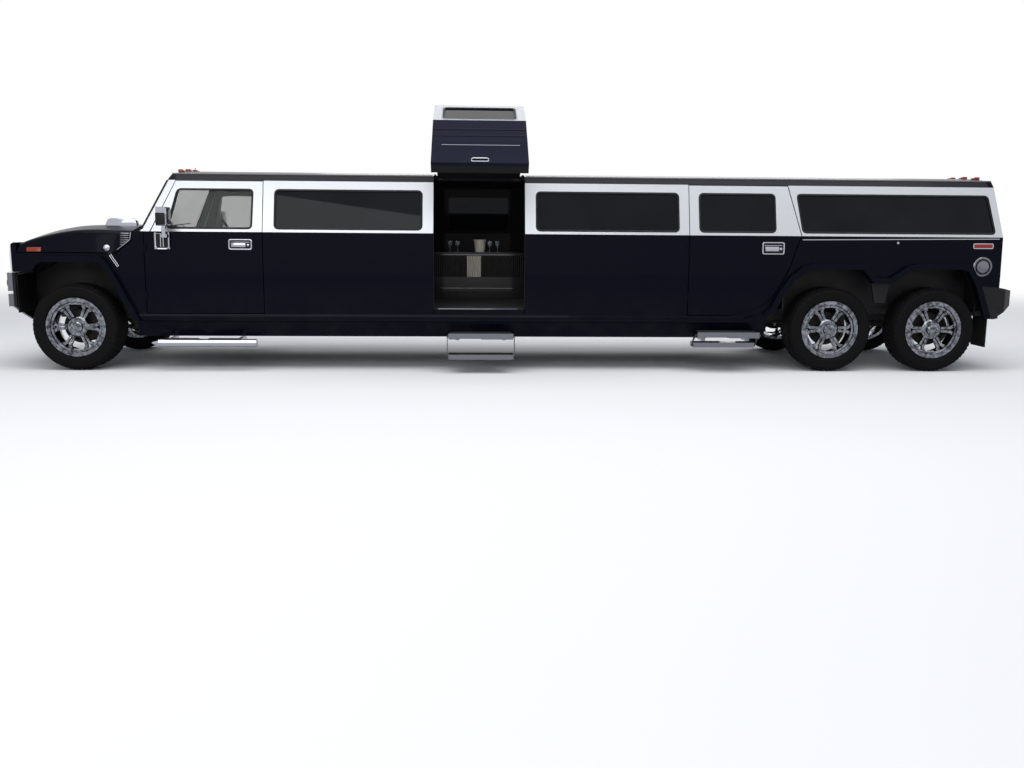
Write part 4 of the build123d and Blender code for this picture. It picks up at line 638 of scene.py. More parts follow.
def floor_finish(name, color):
    """Plain pale floor that shows as background and keeps the shadows."""
    made = Finish(name, color, Roughness=0.9, Specular_IOR_Level=0.1)
    # Far from the vehicle, what looks at the floor sees plain background
    away = made.node("VectorMath", {0: made.coordinates}, operation="LENGTH").outputs["Value"]
    far = made.node("MapRange", {"Value": away, "From Min": 7.0, "From Max": 20.0},
                    interpolation_type="SMOOTHSTEP").outputs["Result"]
    share = made.times(far, looking_ray(made.tree))
    mix = made.node("MixShader", {0: share, 1: made.shader.outputs[0], 2: made.node("Emission").outputs[0]})
    made.tree.links.new(mix.outputs[0], made.tree.nodes["Material Output"].inputs["Surface"])
    return made.material


def make_looks(settings):
    """Makes every finish once."""
    LOOKS.update(
        black=paint_finish("black paint", settings),
        two_tone=paint_finish("two-tone paint", settings, two_tone=True, inside="side"),
        tail_paint=paint_finish("tail paint", settings, two_tone=True, inside="tail"),
        door_paint=paint_finish("door paint", settings, two_tone=True, chrome_beyond=0.9815, inside="side"),
        # The jet door takes the body paint at 2.8 times its colour. This is a painted sheen of the sky that the
        # open door catches, and it is also there when the door is shut
        jet_paint=paint_finish("jet door paint with painted sky sheen", settings, two_tone=True, shut_jet=True, inside="side",
                               color=tinted(settings.paint_color, 2.8)),
        nose_paint=paint_finish("nose plating", settings, chrome_ahead=-0.612),
        roof=paint_finish("roof paint", settings, color=ROOF_COLOR),
        chrome=chrome_finish("chrome", settings),
        satin_chrome=chrome_finish("satin chrome", settings, brushed=True, strength=0.42),
        wheel_chrome=chrome_finish("wheel plating with painted reflections", settings, strength=0.48),
        mirror_glass=chrome_finish("mirror glass", settings),
        cladding=plastic_finish("black moulding", (0.0035, 0.0035, 0.005), 0.45, dusty=0.04),
        flap=plastic_finish("flap rubber", (0.004, 0.004, 0.0045), 0.7, 300.0, 0.05),
        gasket=plastic_finish("gasket rubber", (0.004, 0.004, 0.005), 0.5, 900.0, 0.03),
        cabin=plastic_finish("cabin moulding", TRIM_COLOR, 0.6, 500.0, 0.02),
        steel=metal_finish("chassis paint", (0.012, 0.012, 0.013), dusty=0.18),
        drip=metal_finish("drip rail", (0.12, 0.12, 0.13), 0.4, 0.2),
        # Pale cream and not metallic: a painted highlight on the bar's reeds where the light falls, and the ice
        # bucket's steel
        reed_steel=metal_finish("painted reed highlight and bucket steel", (0.85, 0.8, 0.68), 0.3, 0.05),
        tyre=rubber_finish("tyre rubber", tuple(settings.rubber_color)),
        clear_glass=glass_finish("clear glass", (0.03, 0.04, 0.033)),
        drink_glass=glass_finish("drinking glass", (0.6, 0.64, 0.66)),
        dark_glass=dark_glass_finish("private glass", (0.0015, 0.002, 0.0035)),
        lens=lens_finish("clear lens", (0.55, 0.57, 0.6), 0.4),
        amber=lens_finish("amber lens", (0.24, 0.022, 0.004)),
        red=lens_finish("red lens", (0.26, 0.006, 0.008)),
        leather=leather_finish("leather", tuple(settings.leather_color)),
        carpet=carpet_finish("carpet", (0.012, 0.012, 0.014)),
        lacquer=lacquer_finish("lacquer", (0.003, 0.0025, 0.0023)),
        brake=cast_finish("brake iron", (0.012, 0.012, 0.013)),
        casting=cast_finish("casting", (0.1, 0.1, 0.105)),
    )


# Nodes, or the start of several nodes' names, that take each finish
LOOK_NODES = {
    "wheel_chrome": "rim", "tyre": "tyre", "carpet": "floor_pan", "flap": "mudflaps",
    "nose_paint": "nose_grille",
    "steel": "knuckle front_suspension rear_axles chassis_frame driveline entry_step_cranks rear_step_cranks",
    "cladding": "wheelhouses front_bumper rear_bumper", "black": "sills wheel_flares front_wings hood",
    "two_tone": "cowl_frame quarter_panels side_panel rear_door", "roof": "roof_panel",
    "tail_paint": "rear_frame tailgate", "jet_paint": "jet_door", "door_paint": "front_door",
    "dark_glass": "tailgate_glass jet_door_glass fixed_glass rear_door_glass",
    "clear_glass": "front_door_glass",
    "satin_chrome": "bumper_plates step_treads entry_step_tread rear_step_tread", "chrome": "side_steps",
    "lens": "lamps", "casting": "engine_block", "cabin": "dashboard", "leather": "front_seats lounge_sofa",
    "lacquer": "bar_cabinet",
}
NODE_LOOKS = {start: look for look, starts in LOOK_NODES.items() for start in starts.split()}


def finish_nodes():
    """Gives every CAD node the finish of the longest name in the table that starts its own."""
    for name, node in frame["nodes"].items():
        best = max((start for start in NODE_LOOKS if name.startswith(start)), key=len)
        node.data.materials.clear()
        node.data.materials.append(LOOKS[NODE_LOOKS[best]])


# Wheels

TREAD_PITCHES = 58
TREAD_RADIUS = 431
# Middle, width across, length round, lean and shift of each row of tread blocks
TREAD_ROWS = (
    (-128, 50, 31, 22, 0.0), (-72, 46, 27, 0, 0.5), (0, 52, 27, 0, 0.0), (72, 46, 27, 0, 0.5),
    (128, 50, 31, -22, 0.0),
)
# Half of the tyre's section, as radius and distance from its middle
TYRE_HALF = [
    (280, 125), (299, 126), (303, 135), (311, 143), (318, 148), (322, 151), (330, 153), (336, 152),
    (340, 154.5), (346, 155), (352, 156.5), (370, 157.3), (388, 156), (391, 157), (397, 155.5),
    (400, 153), (407, 150), (414, 145), (421, 136), (427, 124), (430, 108), (431, 60), (431.5, 0),
]
# Count, circle, station, height, radii, sides and shift of the wheel's nuts, rivets and cap bolts
WHEEL_STUDS = (
    (8, 76, 104, 13, 11, 9, 6, 0.5), (24, 248, 124, 5, 6, 4.5, 8, 0.5), (8, 44, 132, 9, 8, 5, 8, 0),
)


def make_wheel(axle, side_name):
    """Tyre with moulded sidewalls and tread blocks, and the wheel's nuts, rivets and cap bolts."""
    side, wheel = SIDES[side_name], f"{axle}_{side_name}"
    centre, out = Vector((AXLES[axle], side * WHEEL_Y, HUB_Z)), Vector((0, side, 0))
    profile = TYRE_HALF + [(radius, -y) for radius, y in reversed(TYRE_HALF[:-1])]
    tyre = Piece().lathe(profile, centre, (0, 1, 0), 96)
    for index in range(TREAD_PITCHES):
        for middle, width, length, lean, shift in TREAD_ROWS:
            turn = Matrix.Rotation(2 * pi * (index + shift) / TREAD_PITCHES, 4, "Y")
            drop = 10.5 if lean else 3.4
            place = Matrix.Translation(centre) @ turn @ Matrix.Translation((0, middle, TREAD_RADIUS - drop))
            place = place @ Matrix.Rotation(radians(lean), 4, "X") @ Matrix.Rotation(0.22, 4, "Z")
            tyre.cube(place @ Matrix.Diagonal((length, width, 15, 1)))
    tyre.done(f"tread_{wheel}", "tyre", f"wheel_{wheel}", [f"tyre_{wheel}"], 35)
    fittings = Piece()
    for count, circle, station, height, radius, end_radius, sides, shift in WHEEL_STUDS:
        for seat in ring_points(centre, out * station, circle, count, shift):
            fittings.rod(seat, seat + out * height, radius, end_radius, sides)
    fittings.done(f"wheel_fittings_{wheel}", "wheel_chrome", f"wheel_{wheel}")


def make_brakes():
    """Brake discs and calipers behind the spokes."""
    for axle, x in AXLES.items():
        for name, side in SIDES.items():
            centre, out = Vector((x, side * WHEEL_Y, HUB_Z)), Vector((0, side, 0))
            disc = [(93, -34), (172, -34), (174, -32), (174, -12), (172, -10), (110, -10), (106, 4), (93, 4)]
            disc = Piece().lathe(disc, centre, out, 48)
            disc.done(f"brake_disc_{axle}_{name}", "brake", f"wheel_{axle}_{name}")
            caliper = Piece()
            for index in range(5):
                turn = Matrix.Rotation(radians(-32 + 16 * index), 4, "Y")
                place = Matrix.Translation(centre) @ turn @ Matrix.Translation((193, side * -22, 0))
                caliper.cube(place @ Matrix.Diagonal((32, 62, 58, 1)))
            caliper.rounded(5)
            caliper.done(f"caliper_{axle}_{name}", "brake", f"knuckle_{name}" if axle == "front" else "root")


# Windows

def make_fixed_panes():
    """The node's own panes, parted into a clear windscreen and dark saloon windows."""
    for name, ahead, look in (("windscreen", True, "clear_glass"), ("saloon_windows", False, "dark_glass")):
        panes = Piece()
        panes.bm.from_mesh(frame["nodes"]["fixed_glass"].data)
        panes.bm.transform(DRAWN.inverted())
        others = [vert for vert in panes.bm.verts if (vert.co.x < SCREEN_REAR_X) != ahead]
        bmesh.ops.delete(panes.bm, geom=others, context="VERTS")
        panes.done(name, look, replaces=["fixed_glass"])


def window_outlines():
    """Name, side, outline and body of each side window."""
    front = soft_outline([(938, 1437), (1032, 1821), (1778, 1821), (1772, 1437)], WINDOW_CORNER)
    quarter = soft_outline([(7402, 1437), (7352, 1821), (9360, 1821), (9420, 1437)], WINDOW_CORNER)
    for name, side in SIDES.items():
        yield f"front_{name}", side, front[::-1], f"front_door_{name}"
        yield f"quarter_{name}", side, quarter[::-1], "root"
        for label, low, high, body in (
            ("saloon_front", 2005, 3480, "root"), ("saloon_rear", 4652, 6109, "root"),
            ("jet", *JET_WINDOW[:2], "jet_door" if side < 0 else "root"),
            ("rear_door", 6332, 7113, f"rear_door_{name}"),
        ):
            outline = rounded_outline(low, high, WINDOW_LOW, WINDOW_HIGH, WINDOW_CORNER)
            yield f"{label}_{name}", side, outline, body


def make_gaskets(settings):
    """Black rubber gaskets round the side windows."""
    width = settings.gasket_width
    for name, side, outline, body in window_outlines():
        inner, outer = offset_outline(outline, -width * 0.45), offset_outline(outline, width * 0.55)
        gasket = Piece().ring(inner, outer, -6, 3)
        place = JET_OPEN if body == "jet_door" else None
        gasket.laid(side).rounded(2, 1).done(f"gasket_{name}", "gasket", body, place=place)


# Lamps

MARKER_YS = (-520, -260, 0, 260, 520)
FRONT_MARKER_X, REAR_MARKER_X = 985, 9390
TAIL_LAMP_Y, HEAD_LAMP_Y, HEAD_LAMP_Z = 840, 640, 1122
AHEAD, BACK, UP, DOWN = (-1, 0, 0), (1, 0, 0), (0, 0, 1), (0, 0, -1)


def make_lamp_lenses():
    """Coloured lenses over the markers and tail lamps, and the head lamps' glass and bezels."""
    amber, red, bezels, glass = (Piece() for _ in range(4))
    for y in MARKER_YS:
        z = read_table(ROOF_LEVELS, abs(y))
        for piece, x in ((amber, FRONT_MARKER_X), (red, REAR_MARKER_X)):
            piece.block((x - 28, y - 48, z - 6), (x + 28, y + 48, z + 27))
    for piece in (amber, red):
        piece.rounded(10, 3)
    for side in (-1, 1):
        y, lamp_y = side * TAIL_LAMP_Y, side * HEAD_LAMP_Y
        for low, high in ((1121, 1222), (1229, 1329)):
            red.block((TAIL_X + 6, y - 41, low), (TAIL_X + 17, y + 41, high))
        bezels.block((TAIL_X - 2, y - 50, 1112), (TAIL_X + 9, y + 50, 1338))
        bezels.lathe([(84, -6), (101, -6), (101, 6), (94, 12), (84, 8)], (-668, lamp_y, HEAD_LAMP_Z), AHEAD, 40)
        dome = [(0, -4), (86, -4), (84, 4), (60, 10), (30, 13), (0, 14)]
        glass.lathe(dome, (-672, lamp_y, HEAD_LAMP_Z), AHEAD, 40)
    amber.done("front_markers", "amber")
    red.done("rear_markers", "red")
    bezels.done("lamp_bezels", "chrome")
    glass.done("head_lamp_glass", "lens")


# Front

# Hood, as X, then the heights of its crown, shoulder and edge
HOOD_STATIONS = (
    (-550, 1298, 1290, 1264), (-400, 1380, 1370, 1316), (-100, 1450, 1442, 1383), (150, 1468, 1460, 1408),
    (575, 1470, 1462, 1396),
)
HOOD_HALF, HOOD_EDGE_HALF, HOOD_SHOULDER_HALF = 967, 932, 595
HOOD_SKIRT_Z = 1188
# The skirt rises to the rear from this station
HOOD_CUT_X, HOOD_CUT_SLOPE = 422, 120 / 153
HOOD_ROWS, HOOD_ACROSS = 46, 104
# Distance behind the hood's front, and drop below its skin, of the rows that roll its front edge,
# and where the even rows begin behind them
HOOD_ROLL = ((0, None), (0, 22), (3, 9), (10, 2))
HOOD_ROLLED = 24


def hood_height(x, column):
    """Smooth height of the hood's crown, shoulder or edge at a station."""
    rows = HOOD_STATIONS
    index = max(i for i in range(len(rows) - 1) if rows[i][0] <= x)

    def slope(i):
        low, high = rows[max(0, i - 1)], rows[min(len(rows) - 1, i + 1)]
        return (high[column] - low[column]) / (high[0] - low[0])
    (x0, *_), (x1, *_) = rows[index], rows[index + 1]
    run, t = x1 - x0, (x - x0) / (x1 - x0)
    rise = rows[index + 1][column] - rows[index][column]
    start, end = slope(index) * run, slope(index + 1) * run
    return rows[index][column] + t * (start + t * (3 * rise - 2 * start - end + t * (start + end - 2 * rise)))


def hood_section(x):
    """Points from the hood's skirt to its crown at a station, as Y and Z."""
    crown, shoulder, edge = (hood_height(x, column) for column in (1, 2, 3))
    bottom = HOOD_SKIRT_Z + max(0.0, (x - HOOD_CUT_X) * HOOD_CUT_SLOPE)
    corners = ((HOOD_HALF, bottom), (HOOD_EDGE_HALF, edge), (HOOD_SHOULDER_HALF, shoulder), (0, crown))
    corners = [Vector(corner) for corner in corners]
    points = corners[:1]
    for before, here, after, radius in zip(corners, corners[1:], corners[2:], (42, 110)):
        points += soft_corner(before, here, after, radius, 6)
    return points + corners[3:]


def along(points, share):
    """Point at a share of the way along a line of points."""
    runs = [(b - a).length for a, b in zip(points, points[1:])]
    left = share * sum(runs)
    for start, end, run in zip(points, points[1:], runs):
        if left <= run:
            return start.lerp(end, left / run)
        left -= run
    return points[-1]


def make_hood_skin():
    """Curved hood with a rolled front edge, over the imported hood's own stations."""
    hood = Piece()
    bmesh.ops.create_grid(hood.bm, x_segments=HOOD_ROWS, y_segments=HOOD_ACROSS, size=1)
    rows = sorted({round(vert.co.x, 4) for vert in hood.bm.verts})
    low, high = HOOD_STATIONS[0][0], HOOD_STATIONS[-1][0]
    sections = {row: (low + behind, drop) for row, (behind, drop) in zip(rows, HOOD_ROLL)}
    rest = rows[len(HOOD_ROLL):]
    for index, row in enumerate(rest):
        sections[row] = low + HOOD_ROLLED + (high - low - HOOD_ROLLED) * index / (len(rest) - 1), 0
    outlines = {row: hood_section(x) for row, (x, _) in sections.items()}
    for vert in hood.bm.verts:
        row = round(vert.co.x, 4)
        x, drop = sections[row]
        y, z = along(outlines[row], 1 - abs(vert.co.y))
        side = 1 if vert.co.y > 0 else -1
        vert.co = (x, side * y, HOOD_SKIRT_Z + 3 if drop is None else max(HOOD_SKIRT_Z, z - drop))
    bmesh.ops.remove_doubles(hood.bm, verts=hood.bm.verts, dist=1.0)
    skin = hood.done("hood_skin", "black", "hood", ["hood"], 28)
    keep_skin("hood", skin)
    wall = skin.modifiers.new("wall", "SOLIDIFY")
    wall.thickness = 0.03
    wall.offset = -1


def make_hood_trim():
    """Bright scoops, louvres with their bright edge, latches and side markers of the hood."""
    scoop = [(184, 1430), (229, 1519), (259, 1532), (481, 1534), (515, 1517), (541, 1430)]
    vent = [(468, 1256), (504, 1258), (556, 1300), (556, 1388), (468, 1388)]
    edge = [(560, 1388), (572, 1388), (572, 1313), (447, 1214), (430, 1214), (560, 1320)]
    knob = [(0, -3), (30, -3), (30, 4), (18, 8), (15, 14), (22, 20), (24, 27), (17, 34), (0, 37)]
    for name, side in SIDES.items():
        out = Vector((0, side, 0))
        Piece().prism(scoop, side * 534, side * 616).rounded(9, 3).done(f"scoop_{name}", "chrome", "hood")
        Piece().prism(vent, -2, 1.5).laid(side, "hood").done(f"vent_{name}", "gasket", "hood")
        slats = Piece()
        for z in range(1270, 1381, 22):
            slats.block((470, -1, z - 5), (min(553, 422 + (z - 1200) * 1.275), 8, z + 5))
            bmesh.ops.rotate(slats.bm, verts=list(slats.bm.verts)[-8:], cent=(510, 2, z),
                             matrix=Matrix.Rotation(-0.35, 3, "X"))
        slats.prism(edge, -2, 8).rounded(1.5).laid(side, "hood")
        slats.done(f"louvres_{name}", "satin_chrome", "hood")
        seat = meet("hood", (334, side * FAR_SIDE_Y, 1234), -out)
        Piece().lathe(knob, seat, out, 32).done(f"latch_knob_{name}", "chrome", "hood")

        skin = half_width(1100) + 4
        start, end = Vector((364, side * skin, 1176)), Vector((444, side * skin, 1052))
        strap = Piece().rod(start, end, 19, 16).ball(start, (20, 12, 20))
        for vert in strap.bm.verts:
            vert.co.y = side * (skin + (abs(vert.co.y) - skin) * 0.55)
        strap.done(f"latch_strap_{name}", "gasket")
        across, bars = (end - start).normalized().cross(out) * 9, Piece()
        for shift in (out * 9 - across, out * 9 + across):
            bars.rod(start + shift + (end - start) * 0.1, end + shift, 4.5, segments=10)
        bars.rod(end - across * 1.3 + out * 9, end + across * 1.3 + out * 9, 4.5, segments=10)
        bars.done(f"latch_bars_{name}", "chrome")
        marker = Piece().block((-451, -2, 1191), (-308, 13, 1235)).rounded(6, 3).laid(side, "hood")
        marker.done(f"front_side_marker_{name}", "amber", "hood")


def make_nose_trim():
    """Grille mesh, bumper bolts and fog lamps."""
    mesh, bolts, fog, ring = (Piece() for _ in range(4))
    for y in range(-364, 365, 104):
        for step in (-22, 0, 22):
            mesh.rod((-628, y + step, 1032), (-628, y + step, 1219), 2.5, segments=6)
        for z in range(1040, 1209, 21):
            mesh.rod((-628, y - 36, z), (-628, y + 36, z), 2.5, segments=6)
    mesh.done("grille_mesh", "steel")
    for y in (-560, -500, 500, 560):
        for z in (700, 840, 930):
            seat = meet("bumper_plates", (FAR_AHEAD_X, y, z), BACK)
            bolts.lathe([(0, -3), (14, -3), (14, 2), (9, 5), (0, 6)], seat, AHEAD, 16)
    bolts.done("bumper_bolts", "chrome")
    for y in (-760, 760):
        centre = meet("bumper_plates", (FAR_AHEAD_X, y, 870), BACK)
        ring.lathe([(44, -18), (58, -18), (58, -6), (50, -2), (44, -5)], centre, AHEAD, 32)
        fog.lathe([(0, -18), (46, -18), (45, -8), (25, -5), (0, -4)], centre, AHEAD, 32)
    fog.done("fog_lamp_glass", "lens")
    ring.done("fog_lamp_rings", "gasket")


def make_screen_trim():
    """Windscreen's rubber edge, wipers, gutters and the roof's aerial."""
    gutter_y, gutter_z, front, back = 783, 1978, 965, 9420
    for name, side in SIDES.items():
        edge = Piece().prism([(676, 1420), (696, 1420), (938, 1911), (918, 1911)], -3, 5)
        edge.rounded(2).laid(side).done(f"screen_rubber_{name}", "gasket")
        runs = [(front, back)]
        if side < 0:
            runs = [(front, JET_FRONT_X - 8), (JET_REAR_X + 8, back)]
            ends = [(x, -gutter_y, gutter_z) for x in (JET_FRONT_X + 12, JET_REAR_X - 12)]
            Piece().tube(ends, 8).done("gutter_jet_door", "drip", "jet_door", place=JET_OPEN)
        rail = Piece()
        for run in runs:
            rail.tube([(x, side * gutter_y, gutter_z) for x in run], 8)
        rail.done(f"gutter_{name}", "drip")
    wipers = Piece()
    for low, high, pivot in ((-700, -120, -80), (60, 640, 680)):
        blade = []
        for step in range(6):
            start = (FAR_AHEAD_X, low + (high - low) * step / 5, 1462 + 6 * step)
            blade.append(meet("fixed_glass", start, BACK) - Vector((10, 0, 0)))
        foot = meet("cowl_frame", (660, pivot, FAR_ABOVE_Z), DOWN)
        wipers.tube(blade, 6).rod(foot, foot + Vector((0, 0, 16)), 15, 12)
        wipers.tube([foot + Vector((0, 0, 14)), (blade[2] + blade[3]) / 2 - Vector((8, 0, 0))], 5)
    wipers.done("wipers", "gasket")
    foot = meet("roof_panel", (1051, -300, FAR_ABOVE_Z), DOWN)
    aerial = Piece().lathe([(0, -6), (22, -6), (20, 4), (8, 14), (0, 16)], foot, UP, 24)
    aerial.rod(foot + Vector((0, 0, 8)), foot + Vector((14, 0, 40)), 3.5, 2.5, 8).done("aerial", "gasket")


# Doors

MIRROR_Y = 1085
# Body, low and high X, and low and high Z of each pair of door handles
HANDLES = (("front_door", 1545, 1780, 1222, 1329), ("rear_door", 6976, 7209, 1210, 1337))


def make_handles():
    """Plated door handles, each with its dark recess, grip and lock."""
    for name, side in SIDES.items():
        for door, low, high, bottom, top in HANDLES:
            middle, rise, body = (bottom + top) / 2, top - bottom, f"{door}_{name}"
            recess = Piece().prism(rounded_outline(low + 8, high - 8, bottom + 7, top - 7, 12), -2, 2)
            handle = Piece().ring(rounded_outline(low + 14, high - 14, bottom + 12, top - 12, 11),
                                  rounded_outline(low, high, bottom, top, 20), -2, 10)
            handle.block((low + 30, 1, middle - rise * 0.24), (high - 62, 22, middle + rise * 0.13))
            handle.block((low + 24, 1, middle + rise * 0.19), (high - 24, 9, middle + rise * 0.25))
            lock_z = middle - rise * 0.05
            handle.rod((high - 40, 1, lock_z), (high - 40, 14, lock_z), rise * 0.12).rounded(3)
            recess.laid(side).done(f"handle_recess_{body}", "gasket", body)
            handle.laid(side).done(f"handle_{body}", "chrome", body)


def make_mirrors():
    """Bracket, lower shell and glass of both door mirrors."""
    bracket = [(829, 20, 1392), (829, 24, 1250), (838, 25, 1234), (856, 26, 1227), (934, 26, 1227),
               (952, 25, 1234), (961, 24, 1250), (961, 20, 1392)]
    for name, side in SIDES.items():
        body, y = f"front_door_{name}", side * MIRROR_Y
        back = Piece().prism(rounded_outline(838, 952, 1238, 1378, 14), 18, 22.5).laid(side)
        back.done(f"mirror_bracket_back_{name}", "gasket", body)
        bars = Piece().tube(bracket, 9)
        for x in (882, 908):
            bars.tube([(x, 27, 1246), (x, 27, 1376)], 6)
        bars.laid(side).done(f"mirror_bracket_{name}", "chrome", body)
        shell = Piece().block((892, y - 88, 1455), (991, y + 88, 1588)).rounded(16, 3)
        shell.done(f"mirror_shell_{name}", "cladding", body)
        glass = Piece().block((995, y - 74, 1474), (1000, y + 74, 1626)).rounded(2)
        glass.done(f"mirror_glass_{name}", "mirror_glass", body)


# Doorway and bar

BAR_LOW_X, BAR_HIGH_X, BAR_FACE_Y, BAR_TOP_Z = 2300, 4850, 560, 1181
REED_PITCH = 24
# Reeds between these stations take a pale cream finish, a painted highlight where the light falls on them
HIGHLIT_REEDS = (3921, 4109)


def make_doorway():
    """Threshold and rubber of the open doorway."""
    low, high = JET_FRONT_X + 44, JET_REAR_X - 70
    sill, rubber = Piece().block((low, -962, 622), (high, -908, 637)), Piece()
    for y in range(-955, -918, 12):
        sill.block((low + 10, y, 636), (high - 10, y + 5, 640))
    sill.rounded(2).done("threshold", "satin_chrome")
    for x in (JET_FRONT_X - 2, JET_REAR_X + 2):
        rubber.tube([(x, -(half_width(z) - 22), z) for z in (645, 1000, 1400, 1900)], 9)
    rubber.done("doorway_rubber", "gasket")
    face = Piece().block((JET_FRONT_X + 8, -964.5, 576), (JET_REAR_X - 8, -961, 632))
    face.done("threshold_face", "black")


def make_bar():
    """Reeded front with a painted highlight on some reeds, bright lines, ice bucket and glasses of the bar."""
    reeds, steel, lines, glasses = (Piece() for _ in range(4))
    for x in range(BAR_LOW_X + 10, BAR_HIGH_X, REED_PITCH):
        # Reeds where the light falls go with the ice bucket into the pale cream finish, a painted highlight on
        # those reeds
        piece = steel if HIGHLIT_REEDS[0] < x < HIGHLIT_REEDS[1] else reeds
        piece.rod((x, BAR_FACE_Y - 1, 892), (x, BAR_FACE_Y - 1, 1140), 10.5, segments=12)
    reeds.done("bar_reeds", "lacquer")
    for z in (758, 1150):
        lines.block((BAR_LOW_X, BAR_FACE_Y - 6, z), (BAR_HIGH_X, BAR_FACE_Y + 3, z + 4))
    lines.done("bar_lines", "satin_chrome")
    bucket = [(0, 0), (58, 0), (70, 130), (79, 138), (79, 146), (66, 146), (54, 8), (0, 8)]
    steel.lathe(bucket, (4085, 680, BAR_TOP_Z), UP, 40).done("bar_highlit_reeds_and_bucket", "reed_steel")
    form = [(0, 0), (30, 0), (30, 3), (4, 8), (4, 62), (26, 84), (32, 130), (30, 130), (23, 86), (0, 70)]
    for x in (3730, 3820, 4200, 4290):
        glasses.lathe(form, (x, 660, BAR_TOP_Z), UP, 20)
    glasses.done("bar_glasses", "drink_glass")


# Jet door

def make_jet_trim():
    """Bright line, creases, handle and window border of the open door."""
    low, high = JET_FRONT_X + 14, JET_REAR_X - 14
    window = rounded_outline(*JET_WINDOW)
    line = Piece().prism([(3702, 929), (4449, 929), (4449, 938), (3702, 938)], -2, 4)
    line.ring(offset_outline(window, 10), offset_outline(window, 20), -2, 4)
    creases = Piece()
    for z in (1102, 1221):
        creases.prism([(low, z - 11), (high, z - 11), (high, z + 11), (low, z + 11)], -4, 4)
    creases.rounded(5, 3)
    recess = Piece().prism(rounded_outline(3990, 4144, 662, 712, 10), -2, 2)
    inner, outer = rounded_outline(3992, 4142, 664, 702, 9), rounded_outline(3983, 4151, 656, 713, 14)
    handle = Piece().ring(inner, outer, -2, 9).block((4000, 4, 690), (4134, 20, 704)).rounded(2.5)
    for piece, name, look in ((line, "line", "chrome"), (creases, "creases", "jet_paint"),
                              (recess, "handle_recess", "gasket"), (handle, "handle", "chrome")):
        piece.laid(-1).done(f"jet_door_{name}", look, "jet_door", place=JET_OPEN)


# Tail

def make_tail_sides():
    """Bright line, side markers, locks and filler cap at the back of both sides."""
    for name, side in SIDES.items():
        bright = Piece().prism([(7394, 1358), (9466, 1380), (9466, 1388), (7394, 1366)], -2, 5)
        inner, outer = rounded_outline(9201, 9394, 1292, 1328, 8), rounded_outline(9190, 9405, 1282, 1338, 14)
        bright.ring(inner, outer, -2, 9)
        bright.rod((8396, -2, 1337), (8396, 6, 1337), 12).laid(side).done(f"tail_brights_{name}", "chrome")
        marker = Piece().block((9199, -2, 1290), (9396, 11, 1330)).rounded(4, 3).laid(side)
        marker.done(f"rear_side_marker_{name}", "red")
    centre, out = Vector((9307, -half_width(1097), 1097)), Vector((0, -1, 0))
    form = [(0, -6), (100, -6), (100, 5), (94, 10), (82, 10), (77, 4), (66, 4), (62, 12), (40, 16), (0, 17)]
    cap = Piece().lathe(form, centre, out, 48)
    for seat in ring_points(centre, out * 9, 88, 12, 0):
        cap.rod(seat, seat + out * 5, 5.5, 4, 8)
    cap.block(centre + Vector((-36, -27, -11)), centre + Vector((36, -14, 11)))
    cap.done("filler_cap", "satin_chrome")
    gap = Piece().lathe([(67, 3), (77, 3), (77, 6), (67, 6)], centre, out, 48)
    gap.done("filler_cap_gap", "gasket")


def make_tailgate_trim():
    """Handle, blank plate and high lamp of the tailgate."""
    grip, plate = (meet("tailgate", (FAR_BEHIND_X, 0, z), AHEAD).x for z in (1230, 1080))
    bright = Piece().block((grip - 2, -120, 1205), (grip + 16, 120, 1250))
    bright.block((plate - 2, -198, 1012), (plate + 5, 198, 1136)).rounded(4)
    bright.done("tailgate_handle", "chrome", "tailgate")
    blank = Piece().block((plate + 3, -186, 1020), (plate + 8, 186, 1128)).rounded(1.5, 1)
    blank.done("blank_plate", "cladding", "tailgate")
    x = meet("rear_frame", (FAR_BEHIND_X, 0, 1886), AHEAD).x
    Piece().block((x - 6, -170, 1872), (x + 10, 170, 1900)).rounded(5).done("high_stop_lamp", "red")


# Steps

SIDE_TUBE_Y = 1050


def make_step_trim():
    """Ribs and pads on the treads and the side tubes."""
    for node, low, high, near, far, body in (
        ("step_treads", 3770, 4395, -1152, -990, "root"),
        ("entry_step_tread", 3770, 4395, -1206, -1072, "entry_step_tread"),
        ("step_treads", 6310, 6918, -1152, -990, "root"),
    ):
        ribs, top = Piece(), meet(node, ((low + high) / 2, (near + far) / 2, FAR_ABOVE_Z), DOWN).z
        for index in range(7):
            y = near + (far - near) * (index + 0.5) / 7
            ribs.block((low, y - 5, top - 3), (high, y + 5, top + 4))
        ribs.rounded(1.5, 1).done(f"ribs_{body}_{low}", "gasket", body)
    for name, side in SIDES.items():
        pads, y = Piece(), side * SIDE_TUBE_Y
        for low, high in ((900, 1230), (1330, 1660)):
            pads.block((low, y - 27, 314), (high, y + 27, 334))
            for index in range(12):
                x = low + 14 + index * (high - low - 28) / 11
                pads.block((x - 5, y - 22, 333), (x + 5, y + 22, 337))
        pads.rounded(2, 1).done(f"step_pads_{name}", "gasket")


# Seats

FRONT_SEAT_Y = 420
PAD_CUTS = 15
WELT_RADIUS = 6.0
# Share by which a pad's sides are pulled in between its corners
PAD_PULL = 0.035


def pad_point(point, thick, flat, channels, crown, half):
    """Point of a unit box drawn into a soft pad."""
    point = Vector(point)
    a, b = (point[axis] for axis in flat)
    soft = point / sum(abs(value) ** 9 for value in point) ** (1 / 9)
    soft[flat[0]] *= 1 - PAD_PULL * (1 - b * b) * abs(a) ** 3
    soft[flat[1]] *= 1 - PAD_PULL * (1 - a * a) * abs(b) ** 3
    rise = 1 - crown * max(abs(a), abs(b)) ** 5
    for axis, station in channels:
        away = (point[flat[axis]] - station) * half[flat[axis]] / 16
        rise -= 0.2 * exp(-away * away)
    soft[thick] *= rise
    return soft


